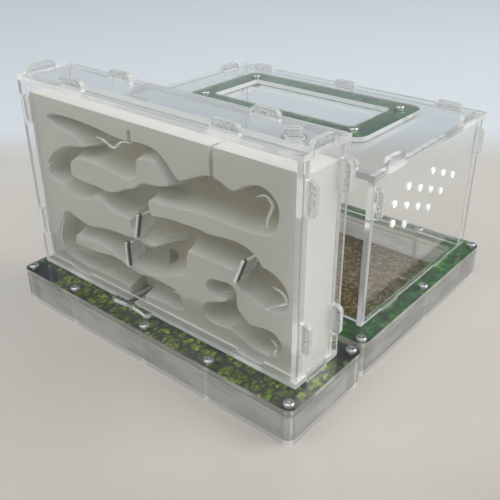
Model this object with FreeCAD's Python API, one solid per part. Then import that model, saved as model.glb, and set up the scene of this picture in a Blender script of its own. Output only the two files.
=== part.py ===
import FreeCAD, Part
import math
import os

# Ant habitat: a plaster nest in a clear box on a hollow base, and a planted
# foraging arena behind it on a base of its own. Millimetres, +Z up.
# The origin is the middle of the footprint, on the table.

# Sheet stock and joints
SHEET = 2.9
FILM = 0.2
TAB_LENGTH = 16.0
TAB_REACH = 4.0
TAB_ROUND = 3.0
SLOT_FIT = 0.1
RUNNING_FIT = 0.1
# How far a cutter runs past the face it opens
OVERSHOOT = 1.0

# Bases
NEST_BASE_WIDTH = 200.0
NEST_BASE_DEPTH = 60.0
ARENA_BASE_WIDTH = 196.6
ARENA_BASE_DEPTH = 137.3
BASE_GAP = 2.7
RING_LAYERS = 5
BASE_CORNER = 4.5
NEST_RING_WIDTH = 9.0
ARENA_RING_WIDTH = 15.0

# Cap screws
SCREW_SHANK = 3.0
SCREW_CLEARANCE = 0.2
SCREW_TAPPED = 0.04
SCREW_HEAD = 5.7
SCREW_HEAD_HEIGHT = 1.65
SCREW_CROWN = 3.1
SCREW_SHOULDER = 5.2
SCREW_SHOULDER_HEIGHT = 1.0
SCREW_SOCKET = 2.0
SCREW_SOCKET_DEPTH = 1.0
NEST_SCREW_INSET = 4.5
ARENA_SCREW_INSET = 4.0
SCREW_TIP_GAP = 0.5
NEST_FRONT_SCREWS = (44.0, 101.5, 147.0)
ARENA_SIDE_SCREW = 69.6
ARENA_REAR_SCREWS = (40.0, 155.3)

# Nest box
NEST_BOX_WIDTH = 188.0
NEST_BOX_DEPTH = 34.0
NEST_BOX_HEIGHT = 113.4
NEST_BOX_LEFT = 4.0
NEST_BOX_FRONT = 14.0
NEST_PANEL_MARGIN = 3.3
NEST_FRONT_TOP_TABS = (42.0, 144.0)
NEST_REAR_TOP_TABS = (50.0, 146.0)
NEST_BOTTOM_TABS = (30.0, 158.0)
NEST_FRONT_SIDE_TABS = (23.0, 91.0)
NEST_REAR_SIDE_TABS = (21.0, 93.0)
NEST_SIDE_TOP_TAB = 15.0

# Plaster block and its galleries
BLOCK_HEADROOM = 7.1
BLOCK_FIT = 0.1
GALLERY_DEPTH = 12.0
GALLERY_MOUTH_INSET = -0.2
GALLERY_KNEE = 6.0
GALLERY_KNEE_INSET = 0.6
GALLERY_FLOOR_INSET = 3.0
CHANNEL_WIDTH = 2.0
CHANNEL_DEPTH = 5.0
PLAN_WIDTH = 182.0
PLAN_HEIGHT = 100.5

# Gallery gates
GATE_SHEET = 1.5
GATE_HEAD_LENGTH = 14.0
GATE_BLADE_LENGTH = 12.4
GATE_BLADE_DEPTH = 9.5
GATE_PROUD = 1.0
GATE_ROUND = 0.9
GATE_PLACES = ((80.9, 46.1, 13.2), (71.0, 26.2, -1.0), (149.4, 45.0, 22.0))

# Front slide under the front panel
SLIDE_PLACE = 77.0
SLIDE_TONGUE = 5.0
SLIDE_REACH = 24.0
SLIDE_HANDLE_WIDTH = 28.8
SLIDE_HANDLE_DEPTH = 4.6
SLIDE_HANDLE_OFFSET = 2.9
SLIDE_WAIST = 1.3
PORT_WIDTH = 12.0
PORT_HEIGHT = 8.0

# Water port in the top of the nest
WATER_PLACE = (173.0, 14.0)
WATER_BORE = 8.0
WATER_PLUG_FLANGE = 11.0
WATER_FLANGE_HEIGHT = 1.4
WATER_GRIP = 8.6
WATER_GRIP_HEIGHT = 3.4

# Tube between the nest and the arena
TUBE_OUTER = 10.0
TUBE_BORE = 7.0
TUBE_PLACE = 95.0
TUBE_HEIGHT = 30.0
TUBE_OVERHANG = 1.0

# Arena box
ARENA_BOX_WIDTH = 179.8
ARENA_BOX_DEPTH = 121.5
ARENA_WALL_HEIGHT = 81.9
ARENA_BOX_LEFT = 7.0
ARENA_BOX_FRONT = 12.8
ARENA_FRONT_MARGIN = 2.2
ARENA_REAR_MARGIN = 4.0
ARENA_TOP_OVERHANG = 1.5
ARENA_TOP_LEFT_OVERHANG = 3.7
ARENA_CROSS_TOP_TABS = (21.3, 88.3, 160.3)
ARENA_CROSS_BOTTOM_TABS = (38.0, 140.0)
ARENA_CROSS_SIDE_TAB = 69.0
ARENA_SIDE_TOP_TABS = (20.5, 101.5)
ARENA_SIDE_BOTTOM_TABS = (30.0, 91.0)

# Ventilation holes in the right wall
VENT_BORE = 4.0
VENT_COLUMN_PITCH = 13.3
VENT_ROW_PITCH = 10.8
VENT_FIRST = (24.0, 50.5)
VENT_ROWS = (2, 3, 2, 3, 2, 1)

# Lid
LID_WIDTH = 127.5
LID_DEPTH = 70.0
LID_BAR = 14.5
LID_CORNER = 8.0
LID_OPENING_CORNER = 2.0
LID_LEFT = 25.8
LID_FRONT = 29.5
LID_LIP = 5.5
LID_FIT = 0.3
LID_SCREW_INSET = 10.5
NUT_FLATS = 5.5
NUT_HEIGHT = 2.4
LID_SCREW_SPARE = 0.6

# Sand on the arena floor
SAND_DEPTH = 2.6
SAND_FIT = 0.2

# Gallery plan: each gallery is a run of (across, up, half width) stations,
# measured from the lower left corner of the block's front face.
GALLERIES = {
    "top_left": ((15, 89, 2.5), (24, 88.3, 4), (35, 87.7, 4.8), (45, 86.1, 6), (56, 86.5, 4.8),
                 (67, 85, 5), (77, 84, 6)),
    "over_island": ((73, 84.5, 4.4), (84, 87, 4), (90, 87.5, 3.4), (96, 86.8, 3), (101, 83.8, 2.8),
                    (104.5, 80, 2.8), (108, 76, 3.5), (112, 72.5, 5)),
    "upper_arm": ((11, 58, 5), (18, 60.5, 9), (22, 67.5, 5.5), (27, 71.5, 4), (33, 73.7, 3.2),
                  (43, 75.2, 3.8), (53, 77, 5.8), (63, 78.5, 8.5), (74, 77.5, 8.5)),
    "lower_arm": ((22, 56.3, 5.2), (28, 53, 5.9), (35, 52.5, 5.6), (43, 54.5, 3.8), (51, 54.7, 3.5),
                  (58, 53, 4.8), (66, 53.3, 6.3), (74, 55.5, 8), (81, 59.5, 6.2)),
    "arm_link": ((84.2, 59.5, 4.4), (84.7, 53.5, 4.6), (85, 47.5, 5)),
    "long_right": ((78, 58, 4.5), (85, 65, 4.5), (91, 67, 4), (99, 67.5, 4.6), (107, 69, 5.5),
                   (115, 72, 7), (124, 74.3, 8.8), (132, 76, 10), (140, 74.5, 8.4),
                   (148, 74.3, 8.6), (155, 76.5, 10.5), (160, 79, 10.5)),
    "middle": ((80, 46, 6.8), (87, 46, 7.5), (95, 46.7, 8), (103, 48.8, 7.3), (111, 50.1, 6.4),
               (120, 49.9, 7), (131, 49.7, 7), (141, 50.3, 7.6), (149, 50, 7.8), (154, 47.5, 8)),
    "right_chamber": ((152, 39.5, 6), (158, 41, 9), (164, 40, 10), (167.5, 38, 9)),
    "lower_middle": ((20, 30, 5.5), (29, 26.8, 6), (37, 27.2, 4.7), (45, 27.8, 5), (53, 28.5, 6),
                     (61, 28, 7.3), (69, 27.5, 8), (77, 28, 8.5), (85, 27, 8), (93, 28.5, 8),
                     (101, 32.5, 8.3), (106, 34.5, 8.3)),
    "middle_link": ((104, 34.5, 5.2), (107.5, 39, 5), (110, 43.5, 5)),
    "left_chamber": ((22, 31, 4), (18.5, 24.5, 6), (15.5, 16, 7.5), (17, 11, 6.5)),
    "bottom_left": ((19, 10, 5.2), (28, 9.8, 6), (38, 10, 6), (48, 10.8, 6.6), (58, 11.5, 7.3),
                    (68, 10, 6.5), (78, 9.4, 6.2), (88, 10.5, 6.5), (98, 10.6, 6), (105, 10.2, 6.2)),
    "small_pocket": ((131, 28, 4.8), (136, 28.5, 5), (141.5, 29.5, 4.8)),
    "pocket_link": ((141.5, 28, 3.5), (142.5, 22.5, 3.6), (142.5, 17, 3.4)),
    "bottom_right": ((129, 13, 5.8), (136, 14.5, 6.5), (142, 16, 7), (147, 13.5, 6.2),
                     (153, 11, 5.5), (160, 10.7, 6.7), (166, 11.4, 7.4)),
}
# Narrow water channels: (across, lower end, upper end); None runs out of the top.
CHANNELS = ((132.0, 84.0, None), (78.5, 86.0, 95.5))

# Heights and places that follow from the sizes above
BASE_TOP = (RING_LAYERS + 2) * SHEET + FILM
FOOTPRINT_DEPTH = NEST_BASE_DEPTH + BASE_GAP + ARENA_BASE_DEPTH
NEST_BASE_X = -NEST_BASE_WIDTH / 2
NEST_BASE_Y = -FOOTPRINT_DEPTH / 2
ARENA_BASE_X = -ARENA_BASE_WIDTH / 2
ARENA_BASE_Y = NEST_BASE_Y + NEST_BASE_DEPTH + BASE_GAP

BOX_X = (NEST_BASE_X + NEST_BOX_LEFT, NEST_BASE_X + NEST_BOX_LEFT + NEST_BOX_WIDTH)
BOX_Y = (NEST_BASE_Y + NEST_BOX_FRONT, NEST_BASE_Y + NEST_BOX_FRONT + NEST_BOX_DEPTH)
BOX_TOP = BASE_TOP + NEST_BOX_HEIGHT
BOX_INNER_X = (BOX_X[0] + SHEET, BOX_X[1] - SHEET)
BOX_WALL_Z = (BASE_TOP + SHEET, BOX_TOP - SHEET)
FRONT_PANEL_Y = (BOX_Y[0] + NEST_PANEL_MARGIN, BOX_Y[0] + NEST_PANEL_MARGIN + SHEET)
REAR_PANEL_Y = (BOX_Y[1] - NEST_PANEL_MARGIN - SHEET, BOX_Y[1] - NEST_PANEL_MARGIN)

BLOCK_X = (BOX_INNER_X[0] + BLOCK_FIT, BOX_INNER_X[1] - BLOCK_FIT)
BLOCK_Y = (FRONT_PANEL_Y[1], REAR_PANEL_Y[0] - BLOCK_FIT)
BLOCK_Z = (BOX_WALL_Z[0], BOX_WALL_Z[1] - BLOCK_HEADROOM)
PLAN_SCALE_X = (BLOCK_X[1] - BLOCK_X[0]) / PLAN_WIDTH
PLAN_SCALE_Z = (BLOCK_Z[1] - BLOCK_Z[0]) / PLAN_HEIGHT

HALL_X = (ARENA_BASE_X + ARENA_BOX_LEFT, ARENA_BASE_X + ARENA_BOX_LEFT + ARENA_BOX_WIDTH)
HALL_Y = (ARENA_BASE_Y + ARENA_BOX_FRONT, ARENA_BASE_Y + ARENA_BOX_FRONT + ARENA_BOX_DEPTH)
HALL_Z = (BASE_TOP, BASE_TOP + ARENA_WALL_HEIGHT)
HALL_TOP = HALL_Z[1] + SHEET
HALL_INNER_X = (HALL_X[0] + SHEET, HALL_X[1] - SHEET)
HALL_FRONT_Y = (HALL_Y[0] + ARENA_FRONT_MARGIN, HALL_Y[0] + ARENA_FRONT_MARGIN + SHEET)
HALL_REAR_Y = (HALL_Y[1] - ARENA_REAR_MARGIN - SHEET, HALL_Y[1] - ARENA_REAR_MARGIN)

LID_X = (HALL_X[0] + LID_LEFT, HALL_X[0] + LID_LEFT + LID_WIDTH)
LID_Y = (HALL_Y[0] + LID_FRONT, HALL_Y[0] + LID_FRONT + LID_DEPTH)

X_AXIS = FreeCAD.Vector(1, 0, 0)
Y_AXIS = FreeCAD.Vector(0, 1, 0)
Z_AXIS = FreeCAD.Vector(0, 0, 1)


def block(x, y, z):
    """A plain block between pairs of limits."""
    corner = FreeCAD.Vector(x[0], y[0], z[0])
    return Part.makeBox(x[1] - x[0], y[1] - y[0], z[1] - z[0], corner)


def upright_edges(shape):
    """The edges of a shape that stand parallel to Z."""
    found = []
    for edge in shape.Edges:
        ends = [vertex.Point for vertex in edge.Vertexes]
        if len(ends) == 2 and abs(ends[0].z - ends[1].z) > 0.9 * edge.Length:
            found.append(edge)
    return found


def rounded_block(x, y, z, radius):
    """A block with its four upright edges rounded."""
    plain = block(x, y, z)
    return plain.makeFillet(radius, upright_edges(plain))


def drill(diameter, centre, z):
    """An upright cylinder used as a hole or a shank."""
    start = FreeCAD.Vector(centre[0], centre[1], z[0])
    return Part.makeCylinder(diameter / 2, z[1] - z[0], start, Z_AXIS)


def grown(limits, step):
    """A pair of limits moved apart on both sides."""
    return (limits[0] - step, limits[1] + step)


def cut_all(body, tools):
    """A body with every tool taken from it."""
    return body.cut(tools) if tools else body


class Tab:
    """A tongue on a panel's edge and the slot that takes it."""

    def __init__(self, x, y, z, reach_axis, thick_axis, outward):
        self.limits = {"x": x, "y": y, "z": z}
        self.reach_axis = reach_axis
        self.thick_axis = thick_axis
        self.outward = outward

    def tongue(self):
        """The tongue, with the two corners of its tip rounded."""
        solid = block(self.limits["x"], self.limits["y"], self.limits["z"])
        reach = self.limits[self.reach_axis]
        tip = reach[1] if self.outward > 0 else reach[0]
        corners = []
        for edge in solid.Edges:
            ends = [vertex.Point for vertex in edge.Vertexes]
            at_tip = all(abs(getattr(end, self.reach_axis) - tip) < 1e-6 for end in ends)
            along = abs(getattr(ends[0], self.thick_axis) - getattr(ends[1], self.thick_axis))
            if at_tip and along > 1e-6:
                corners.append(edge)
        radius = min(TAB_ROUND, 0.9 * (reach[1] - reach[0]))
        return solid.makeFillet(radius, corners)

    def slot(self):
        """The cutter for the slot, loose by the slot fit."""
        sides = {}
        for axis, limits in self.limits.items():
            step = 0.5 if axis == self.reach_axis else SLOT_FIT
            sides[axis] = grown(limits, step)
        return block(sides["x"], sides["y"], sides["z"])


def span(centre):
    """The limits of one tab about its centre."""
    return (centre - TAB_LENGTH / 2, centre + TAB_LENGTH / 2)


def cross_panel_tabs(x, y, z, top, bottom, sides, bottom_reach):
    """Tabs of a panel that stands across the box: top, bottom, left and right."""
    up = (z[1], z[1] + SHEET + TAB_REACH)
    down = (z[0] - bottom_reach, z[0])
    left = (x[0] - SHEET - TAB_REACH, x[0])
    right = (x[1], x[1] + SHEET + TAB_REACH)
    origin = x[0] - SHEET
    upper = [Tab(span(origin + place), y, up, "z", "y", 1) for place in top]
    lower = [Tab(span(origin + place), y, down, "z", "y", -1) for place in bottom]
    lefts = [Tab(left, y, span(z[0] + place), "x", "y", -1) for place in sides]
    rights = [Tab(right, y, span(z[0] + place), "x", "y", 1) for place in sides]
    return {"top": upper, "bottom": lower, "left": lefts, "right": rights}


def side_panel_tabs(x, y, z, top, bottom, bottom_reach):
    """Tabs of a panel that stands along the side of the box."""
    up = (z[1], z[1] + SHEET + TAB_REACH)
    down = (z[0] - bottom_reach, z[0])
    upper = [Tab(x, span(y[0] + place), up, "z", "x", 1) for place in top]
    lower = [Tab(x, span(y[0] + place), down, "z", "x", -1) for place in bottom]
    return {"top": upper, "bottom": lower, "left": [], "right": []}


def tabbed_panel(x, y, z, tabs, cutters=()):
    """A panel with its tongues joined on and its slots and holes cut."""
    tongues = [tab.tongue() for group in tabs.values() for tab in group]
    panel = block(x, y, z).fuse(tongues).removeSplitter()
    return cut_all(panel, list(cutters))


def slots(tab_sets, side):
    """Slot cutters for every tab that several panels push through one side."""
    return [tab.slot() for tabs in tab_sets for tab in tabs[side]]


# Bases
def nest_screw_places():
    """Screws of the nest base, seen from above."""
    left = NEST_BASE_X + NEST_SCREW_INSET
    right = NEST_BASE_X + NEST_BASE_WIDTH - NEST_SCREW_INSET
    rows = (NEST_BASE_Y + NEST_SCREW_INSET, NEST_BASE_Y + NEST_BASE_DEPTH - NEST_SCREW_INSET)
    columns = [left] + [NEST_BASE_X + place for place in NEST_FRONT_SCREWS] + [right]
    return [(column, row) for row in rows for column in columns]


def arena_screw_places():
    """Screws of the arena base: corners, middle of each side, rear edge."""
    left = ARENA_BASE_X + ARENA_SCREW_INSET
    right = ARENA_BASE_X + ARENA_BASE_WIDTH - ARENA_SCREW_INSET
    front = ARENA_BASE_Y + ARENA_SCREW_INSET
    rear = ARENA_BASE_Y + ARENA_BASE_DEPTH - ARENA_SCREW_INSET
    middle = ARENA_BASE_Y + ARENA_SIDE_SCREW
    places = [(x, y) for x in (left, right) for y in (front, middle, rear)]
    places += [(ARENA_BASE_X + place, rear) for place in ARENA_REAR_SCREWS]
    return places


def base_limits(name):
    """Outline limits, ring width and screws of one of the two bases."""
    if name == "nest":
        x = (NEST_BASE_X, NEST_BASE_X + NEST_BASE_WIDTH)
        y = (NEST_BASE_Y, NEST_BASE_Y + NEST_BASE_DEPTH)
        return x, y, NEST_RING_WIDTH, nest_screw_places()
    x = (ARENA_BASE_X, ARENA_BASE_X + ARENA_BASE_WIDTH)
    y = (ARENA_BASE_Y, ARENA_BASE_Y + ARENA_BASE_DEPTH)
    return x, y, ARENA_RING_WIDTH, arena_screw_places()


def base_layer(name, z, open_middle, play):
    """One sheet of a base, with its screw holes and, in a ring, its middle cut out."""
    x, y, ring, screws = base_limits(name)
    sheet = rounded_block(x, y, z, BASE_CORNER)
    holes = [drill(SCREW_SHANK + play, place, grown(z, OVERSHOOT)) for place in screws]
    if open_middle:
        holes.append(block(grown(x, -ring), grown(y, -ring), grown(z, OVERSHOOT)))
    return cut_all(sheet, holes)


def base_stack(name, film_node, top_node, top_is_ring, top_slots):
    """All the sheets of one base, bottom plate first."""
    parts = {name + "_base_plate": base_layer(name, (0, SHEET), False, SCREW_TAPPED)}
    for layer in range(1, RING_LAYERS + 1):
        z = (layer * SHEET, (layer + 1) * SHEET)
        parts[name + "_base_ring_%d" % layer] = base_layer(name, z, True, SCREW_CLEARANCE)
    film_z = ((RING_LAYERS + 1) * SHEET, (RING_LAYERS + 1) * SHEET + FILM)
    parts[film_node] = base_layer(name, film_z, top_is_ring, SCREW_CLEARANCE)
    top = base_layer(name, (film_z[1], BASE_TOP), top_is_ring, SCREW_CLEARANCE)
    parts[top_node] = cut_all(top, top_slots)
    return parts


# Screws and nuts
def hexagon(flats, z):
    """A six sided prism on the Z axis."""
    radius = flats / math.sqrt(3)
    corners = [FreeCAD.Vector(radius * math.cos(math.radians(60 * k)),
                              radius * math.sin(math.radians(60 * k)), z[0]) for k in range(7)]
    return Part.Face(Part.makePolygon(corners)).extrude(FreeCAD.Vector(0, 0, z[1] - z[0]))


def cap_screw(length):
    """A domed cap screw with a hexagon socket, head seat at Z = 0, pointing down."""
    profile = ((0, 0), (SCREW_HEAD / 2, 0), (SCREW_SHOULDER / 2, SCREW_SHOULDER_HEIGHT),
               (SCREW_CROWN / 2, SCREW_HEAD_HEIGHT), (0, SCREW_HEAD_HEIGHT), (0, 0))
    outline = Part.makePolygon([FreeCAD.Vector(reach, 0, up) for reach, up in profile])
    head = Part.Face(outline).revolve(FreeCAD.Vector(0, 0, 0), Z_AXIS, 360)
    shank = drill(SCREW_SHANK, (0, 0), (-length, 0))
    socket_floor = SCREW_HEAD_HEIGHT - SCREW_SOCKET_DEPTH
    socket = hexagon(SCREW_SOCKET, (socket_floor, SCREW_HEAD_HEIGHT + OVERSHOOT))
    return head.fuse(shank).cut(socket)


def copies(shape, places, z):
    """One group of separate copies of a small part."""
    group = []
    for place in places:
        copy = shape.copy()
        copy.translate(FreeCAD.Vector(place[0], place[1], z))
        group.append(copy)
    return Part.makeCompound(group)


# Plaster block
def plan_point(across, up, y):
    """A point of the gallery plan on the plane at y."""
    return FreeCAD.Vector(BLOCK_X[0] + across * PLAN_SCALE_X, y, BLOCK_Z[0] + up * PLAN_SCALE_Z)


def gallery_outline(stations, inset, y):
    """Closed smooth outline round a run of stations, drawn in by an inset."""
    runs = []
    for side in (1, -1):
        row = []
        for index, (across, up, half) in enumerate(stations):
            before = stations[max(index - 1, 0)]
            after = stations[min(index + 1, len(stations) - 1)]
            length = math.hypot(after[0] - before[0], after[1] - before[1])
            normal = (-(after[1] - before[1]) / length, (after[0] - before[0]) / length)
            reach = side * max(half - inset, 0.45 * half)
            row.append((across + reach * normal[0], up + reach * normal[1]))
        runs.append(row)
    caps = []
    for end, beyond in ((stations[-1], stations[-2]), (stations[0], stations[1])):
        length = math.hypot(end[0] - beyond[0], end[1] - beyond[1])
        ahead = ((end[0] - beyond[0]) / length, (end[1] - beyond[1]) / length)
        reach = max(end[2] - inset, 0.45 * end[2])
        caps.append((end[0] + reach * ahead[0], end[1] + reach * ahead[1]))
    points = runs[0] + [caps[0]] + runs[1][::-1] + [caps[1]]
    curve = Part.BSplineCurve()
    curve.interpolate([plan_point(across, up, y) for across, up in points], PeriodicFlag=True)
    return Part.Wire(curve.toShape())


def gallery_cutter(stations):
    """A gallery: walls that lean in a little at first, then more, to a flat floor."""
    sections = ((-OVERSHOOT, GALLERY_MOUTH_INSET), (GALLERY_KNEE, GALLERY_KNEE_INSET), (GALLERY_DEPTH, GALLERY_FLOOR_INSET))
    outlines = [gallery_outline(stations, inset, BLOCK_Y[0] + depth) for depth, inset in sections]
    cutter = Part.makeLoft(outlines, True, True)
    if cutter.Volume < 0:
        cutter.reverse()
    return cutter


def channel_cutter(across, low, high):
    """A narrow water channel in the front face."""
    x = grown((plan_point(across, 0, 0).x,) * 2, CHANNEL_WIDTH / 2)
    bottom = plan_point(0, low, 0).z
    top = BLOCK_Z[1] + OVERSHOOT if high is None else plan_point(0, high, 0).z
    return block(x, (BLOCK_Y[0] - OVERSHOOT, BLOCK_Y[0] + CHANNEL_DEPTH), (bottom, top))


def plaster_block():
    """The cast block with its galleries, channels, tube bore and slide port."""
    body = block(BLOCK_X, BLOCK_Y, BLOCK_Z)
    for stations in GALLERIES.values():
        body = body.cut(gallery_cutter(stations))
    tools = [channel_cutter(*channel) for channel in CHANNELS]
    tools += [gate_solid(place, RUNNING_FIT, True) for place in GATE_PLACES]
    tools.append(tube_cylinder(TUBE_BORE, (BLOCK_Y[0] + GALLERY_DEPTH - OVERSHOOT, BLOCK_Y[1] + OVERSHOOT)))
    port_x = grown((slide_x(), slide_x()), PORT_WIDTH / 2)
    port_z = (BLOCK_Z[0] - OVERSHOOT, BLOCK_Z[0] + PORT_HEIGHT)
    port_y = (BLOCK_Y[0] - OVERSHOOT, BLOCK_Y[0] + GALLERY_DEPTH)
    tools.append(block(port_x, port_y, port_z))
    return cut_all(body, tools)


# Gates and slide
def gate_solid(place, play, blade_only=False):
    """A gate at its place in the plan, grown by a play on every side."""
    across, up, lean = place
    half = GATE_SHEET / 2 + play
    blade_end = BLOCK_Y[0] + GATE_BLADE_DEPTH + play
    blade = block((-half, half), (BLOCK_Y[0] - 0.2, blade_end),
                  grown((0, 0), GATE_BLADE_LENGTH / 2 + play))
    solid = blade
    if not blade_only:
        head_y = (FRONT_PANEL_Y[0] - GATE_PROUD, FRONT_PANEL_Y[1])
        head = block((-half, half), head_y, grown((0, 0), GATE_HEAD_LENGTH / 2 + play))
        solid = blade.fuse(head).removeSplitter()
    solid.rotate(FreeCAD.Vector(0, 0, 0), Y_AXIS, lean)
    centre = plan_point(across, up, 0)
    solid.translate(FreeCAD.Vector(centre.x, 0, centre.z))
    return solid


def gate_slot(place):
    """The slot for a gate through the front panel."""
    across, up, lean = place
    slot = block(grown((0, 0), GATE_SHEET / 2 + RUNNING_FIT), grown(FRONT_PANEL_Y, OVERSHOOT),
                 grown((0, 0), GATE_HEAD_LENGTH / 2 + RUNNING_FIT))
    slot.rotate(FreeCAD.Vector(0, 0, 0), Y_AXIS, lean)
    centre = plan_point(across, up, 0)
    slot.translate(FreeCAD.Vector(centre.x, 0, centre.z))
    return slot


def slide_x():
    """Middle of the front slide's tongue."""
    return BOX_X[0] + SLIDE_PLACE


def slide_tongue(play):
    """The tongue that runs in the floor panel's channel."""
    y = (BOX_Y[0] - 0.5, BOX_Y[0] + SLIDE_REACH + play)
    return block(grown((slide_x(),) * 2, SLIDE_TONGUE / 2 + play), y,
                 (BASE_TOP - play, BASE_TOP + SHEET + play))


def front_slide():
    """The slide: a two lobed handle in front of the box and its tongue."""
    rear = BOX_Y[0] - RUNNING_FIT
    front = rear - SLIDE_HANDLE_DEPTH
    middle = slide_x() + SLIDE_HANDLE_OFFSET
    half = SLIDE_HANDLE_WIDTH / 2
    radius = SLIDE_HANDLE_DEPTH / 2
    z = BASE_TOP + RUNNING_FIT
    left = middle - half + radius
    right = middle + half - radius
    low = front + SLIDE_WAIST

    def at(x, y):
        return FreeCAD.Vector(x, y, z)

    edges = [Part.makeLine(at(right, rear), at(left, rear)),
             Part.Arc(at(left, rear), at(left - radius, rear - radius), at(left, front)).toShape(),
             Part.Arc(at(left, front), at(middle, low), at(right, front)).toShape(),
             Part.Arc(at(right, front), at(right + radius, rear - radius), at(right, rear)).toShape()]
    height = SHEET - 2 * RUNNING_FIT
    handle = Part.Face(Part.Wire(edges)).extrude(FreeCAD.Vector(0, 0, height))
    tongue = block(grown((slide_x(),) * 2, SLIDE_TONGUE / 2), (rear, rear + SLIDE_REACH),
                   (z, z + height))
    return handle.fuse(tongue).removeSplitter()


def water_plug():
    """The stopper of the water port: stem, flange and grip."""
    place = (BOX_X[0] + WATER_PLACE[0], BOX_Y[0] + WATER_PLACE[1])
    flange_top = BOX_TOP + WATER_FLANGE_HEIGHT
    stem = drill(WATER_BORE - 2 * RUNNING_FIT, place, (BOX_TOP - SHEET, BOX_TOP))
    flange = drill(WATER_PLUG_FLANGE, place, (BOX_TOP, flange_top))
    grip = drill(WATER_GRIP, place, (flange_top, flange_top + WATER_GRIP_HEIGHT))
    return stem.fuse([flange, grip]).removeSplitter()


# Tube
def tube_cylinder(diameter, y):
    """A cylinder along the tube's axis between two places in Y."""
    start = FreeCAD.Vector(BOX_X[0] + TUBE_PLACE, y[0], BASE_TOP + TUBE_HEIGHT)
    return Part.makeCylinder(diameter / 2, y[1] - y[0], start, Y_AXIS)


def connecting_tube():
    """The clear tube from the back of the nest to the arena."""
    y = (REAR_PANEL_Y[0], HALL_FRONT_Y[1] + TUBE_OVERHANG)
    return tube_cylinder(TUBE_OUTER, y).cut(tube_cylinder(TUBE_BORE, grown(y, OVERSHOOT)))


def tube_hole(y):
    """The hole for the tube through a panel."""
    return tube_cylinder(TUBE_OUTER + 2 * SLOT_FIT, grown(y, OVERSHOOT))


# Nest
def nest_tab_sets():
    """The tabs of the four upright panels of the nest box."""
    x, z, reach = BOX_INNER_X, BOX_WALL_Z, 2 * SHEET
    front = cross_panel_tabs(x, FRONT_PANEL_Y, z, NEST_FRONT_TOP_TABS, NEST_BOTTOM_TABS,
                             NEST_FRONT_SIDE_TABS, reach)
    rear = cross_panel_tabs(x, REAR_PANEL_Y, z, NEST_REAR_TOP_TABS, NEST_BOTTOM_TABS,
                            NEST_REAR_SIDE_TABS, reach)
    side = (NEST_BOX_DEPTH / 2,)
    left = side_panel_tabs((BOX_X[0], BOX_INNER_X[0]), BOX_Y, z, (NEST_SIDE_TOP_TAB,), side, reach)
    right = side_panel_tabs((BOX_INNER_X[1], BOX_X[1]), BOX_Y, z, (NEST_SIDE_TOP_TAB,), side, reach)
    return {"front": front, "rear": rear, "left": left, "right": right}


def nest_parts():
    """Every piece of the nest."""
    tabs = nest_tab_sets()
    sets = list(tabs.values())
    bottom_slots = slots(sets, "bottom")
    parts = base_stack("nest", "nest_picture_film", "nest_top_plate", False, bottom_slots)
    channel = slide_tongue(RUNNING_FIT)
    parts["nest_floor_panel"] = cut_all(block(BOX_X, BOX_Y, (BASE_TOP, BOX_WALL_Z[0])),
                                        bottom_slots + [channel])
    parts["nest_front_panel"] = tabbed_panel(BOX_INNER_X, FRONT_PANEL_Y, BOX_WALL_Z, tabs["front"],
                                             [gate_slot(place) for place in GATE_PLACES])
    parts["nest_rear_panel"] = tabbed_panel(BOX_INNER_X, REAR_PANEL_Y, BOX_WALL_Z, tabs["rear"],
                                            [tube_hole(REAR_PANEL_Y)])
    parts["nest_left_panel"] = tabbed_panel((BOX_X[0], BOX_INNER_X[0]), BOX_Y, BOX_WALL_Z,
                                            tabs["left"], slots(sets, "left"))
    parts["nest_right_panel"] = tabbed_panel((BOX_INNER_X[1], BOX_X[1]), BOX_Y, BOX_WALL_Z,
                                             tabs["right"], slots(sets, "right"))
    water = drill(WATER_BORE, (BOX_X[0] + WATER_PLACE[0], BOX_Y[0] + WATER_PLACE[1]),
                  grown((BOX_WALL_Z[1], BOX_TOP), OVERSHOOT))
    parts["nest_top_panel"] = cut_all(block(BOX_X, BOX_Y, (BOX_WALL_Z[1], BOX_TOP)),
                                      slots(sets, "top") + [water])
    parts["plaster_block"] = plaster_block()
    for number, place in enumerate(GATE_PLACES, 1):
        parts["gallery_gate_%d" % number] = gate_solid(place, 0)
    parts["front_slide"] = front_slide()
    parts["water_plug"] = water_plug()
    screw = cap_screw(BASE_TOP - SCREW_TIP_GAP)
    parts["nest_screws"] = copies(screw, nest_screw_places(), BASE_TOP)
    return parts


# Arena
def vent_places():
    """Ventilation holes: staggered columns on the right wall."""
    places = []
    for column, rows in enumerate(VENT_ROWS):
        for row in range(rows):
            up = VENT_FIRST[1] + VENT_ROW_PITCH * (row - (rows - 2) / 2)
            places.append((VENT_FIRST[0] + column * VENT_COLUMN_PITCH, up))
    return places


def vent_holes():
    """The cutters for the ventilation holes."""
    holes = []
    for along, up in vent_places():
        start = FreeCAD.Vector(HALL_INNER_X[1] - OVERSHOOT, HALL_Y[0] + along, HALL_Z[0] + up)
        holes.append(Part.makeCylinder(VENT_BORE / 2, SHEET + 2 * OVERSHOOT, start, X_AXIS))
    return holes


def arena_tab_sets():
    """The tabs of the four walls of the arena."""
    front = cross_panel_tabs(HALL_INNER_X, HALL_FRONT_Y, HALL_Z, ARENA_CROSS_TOP_TABS,
                             ARENA_CROSS_BOTTOM_TABS, (ARENA_CROSS_SIDE_TAB,), SHEET)
    rear = cross_panel_tabs(HALL_INNER_X, HALL_REAR_Y, HALL_Z, ARENA_CROSS_TOP_TABS,
                            ARENA_CROSS_BOTTOM_TABS, (ARENA_CROSS_SIDE_TAB,), SHEET)
    left = side_panel_tabs((HALL_X[0], HALL_INNER_X[0]), HALL_Y, HALL_Z, ARENA_SIDE_TOP_TABS,
                           ARENA_SIDE_BOTTOM_TABS, SHEET)
    right = side_panel_tabs((HALL_INNER_X[1], HALL_X[1]), HALL_Y, HALL_Z, ARENA_SIDE_TOP_TABS,
                            ARENA_SIDE_BOTTOM_TABS, SHEET)
    return {"front": front, "rear": rear, "left": left, "right": right}


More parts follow.
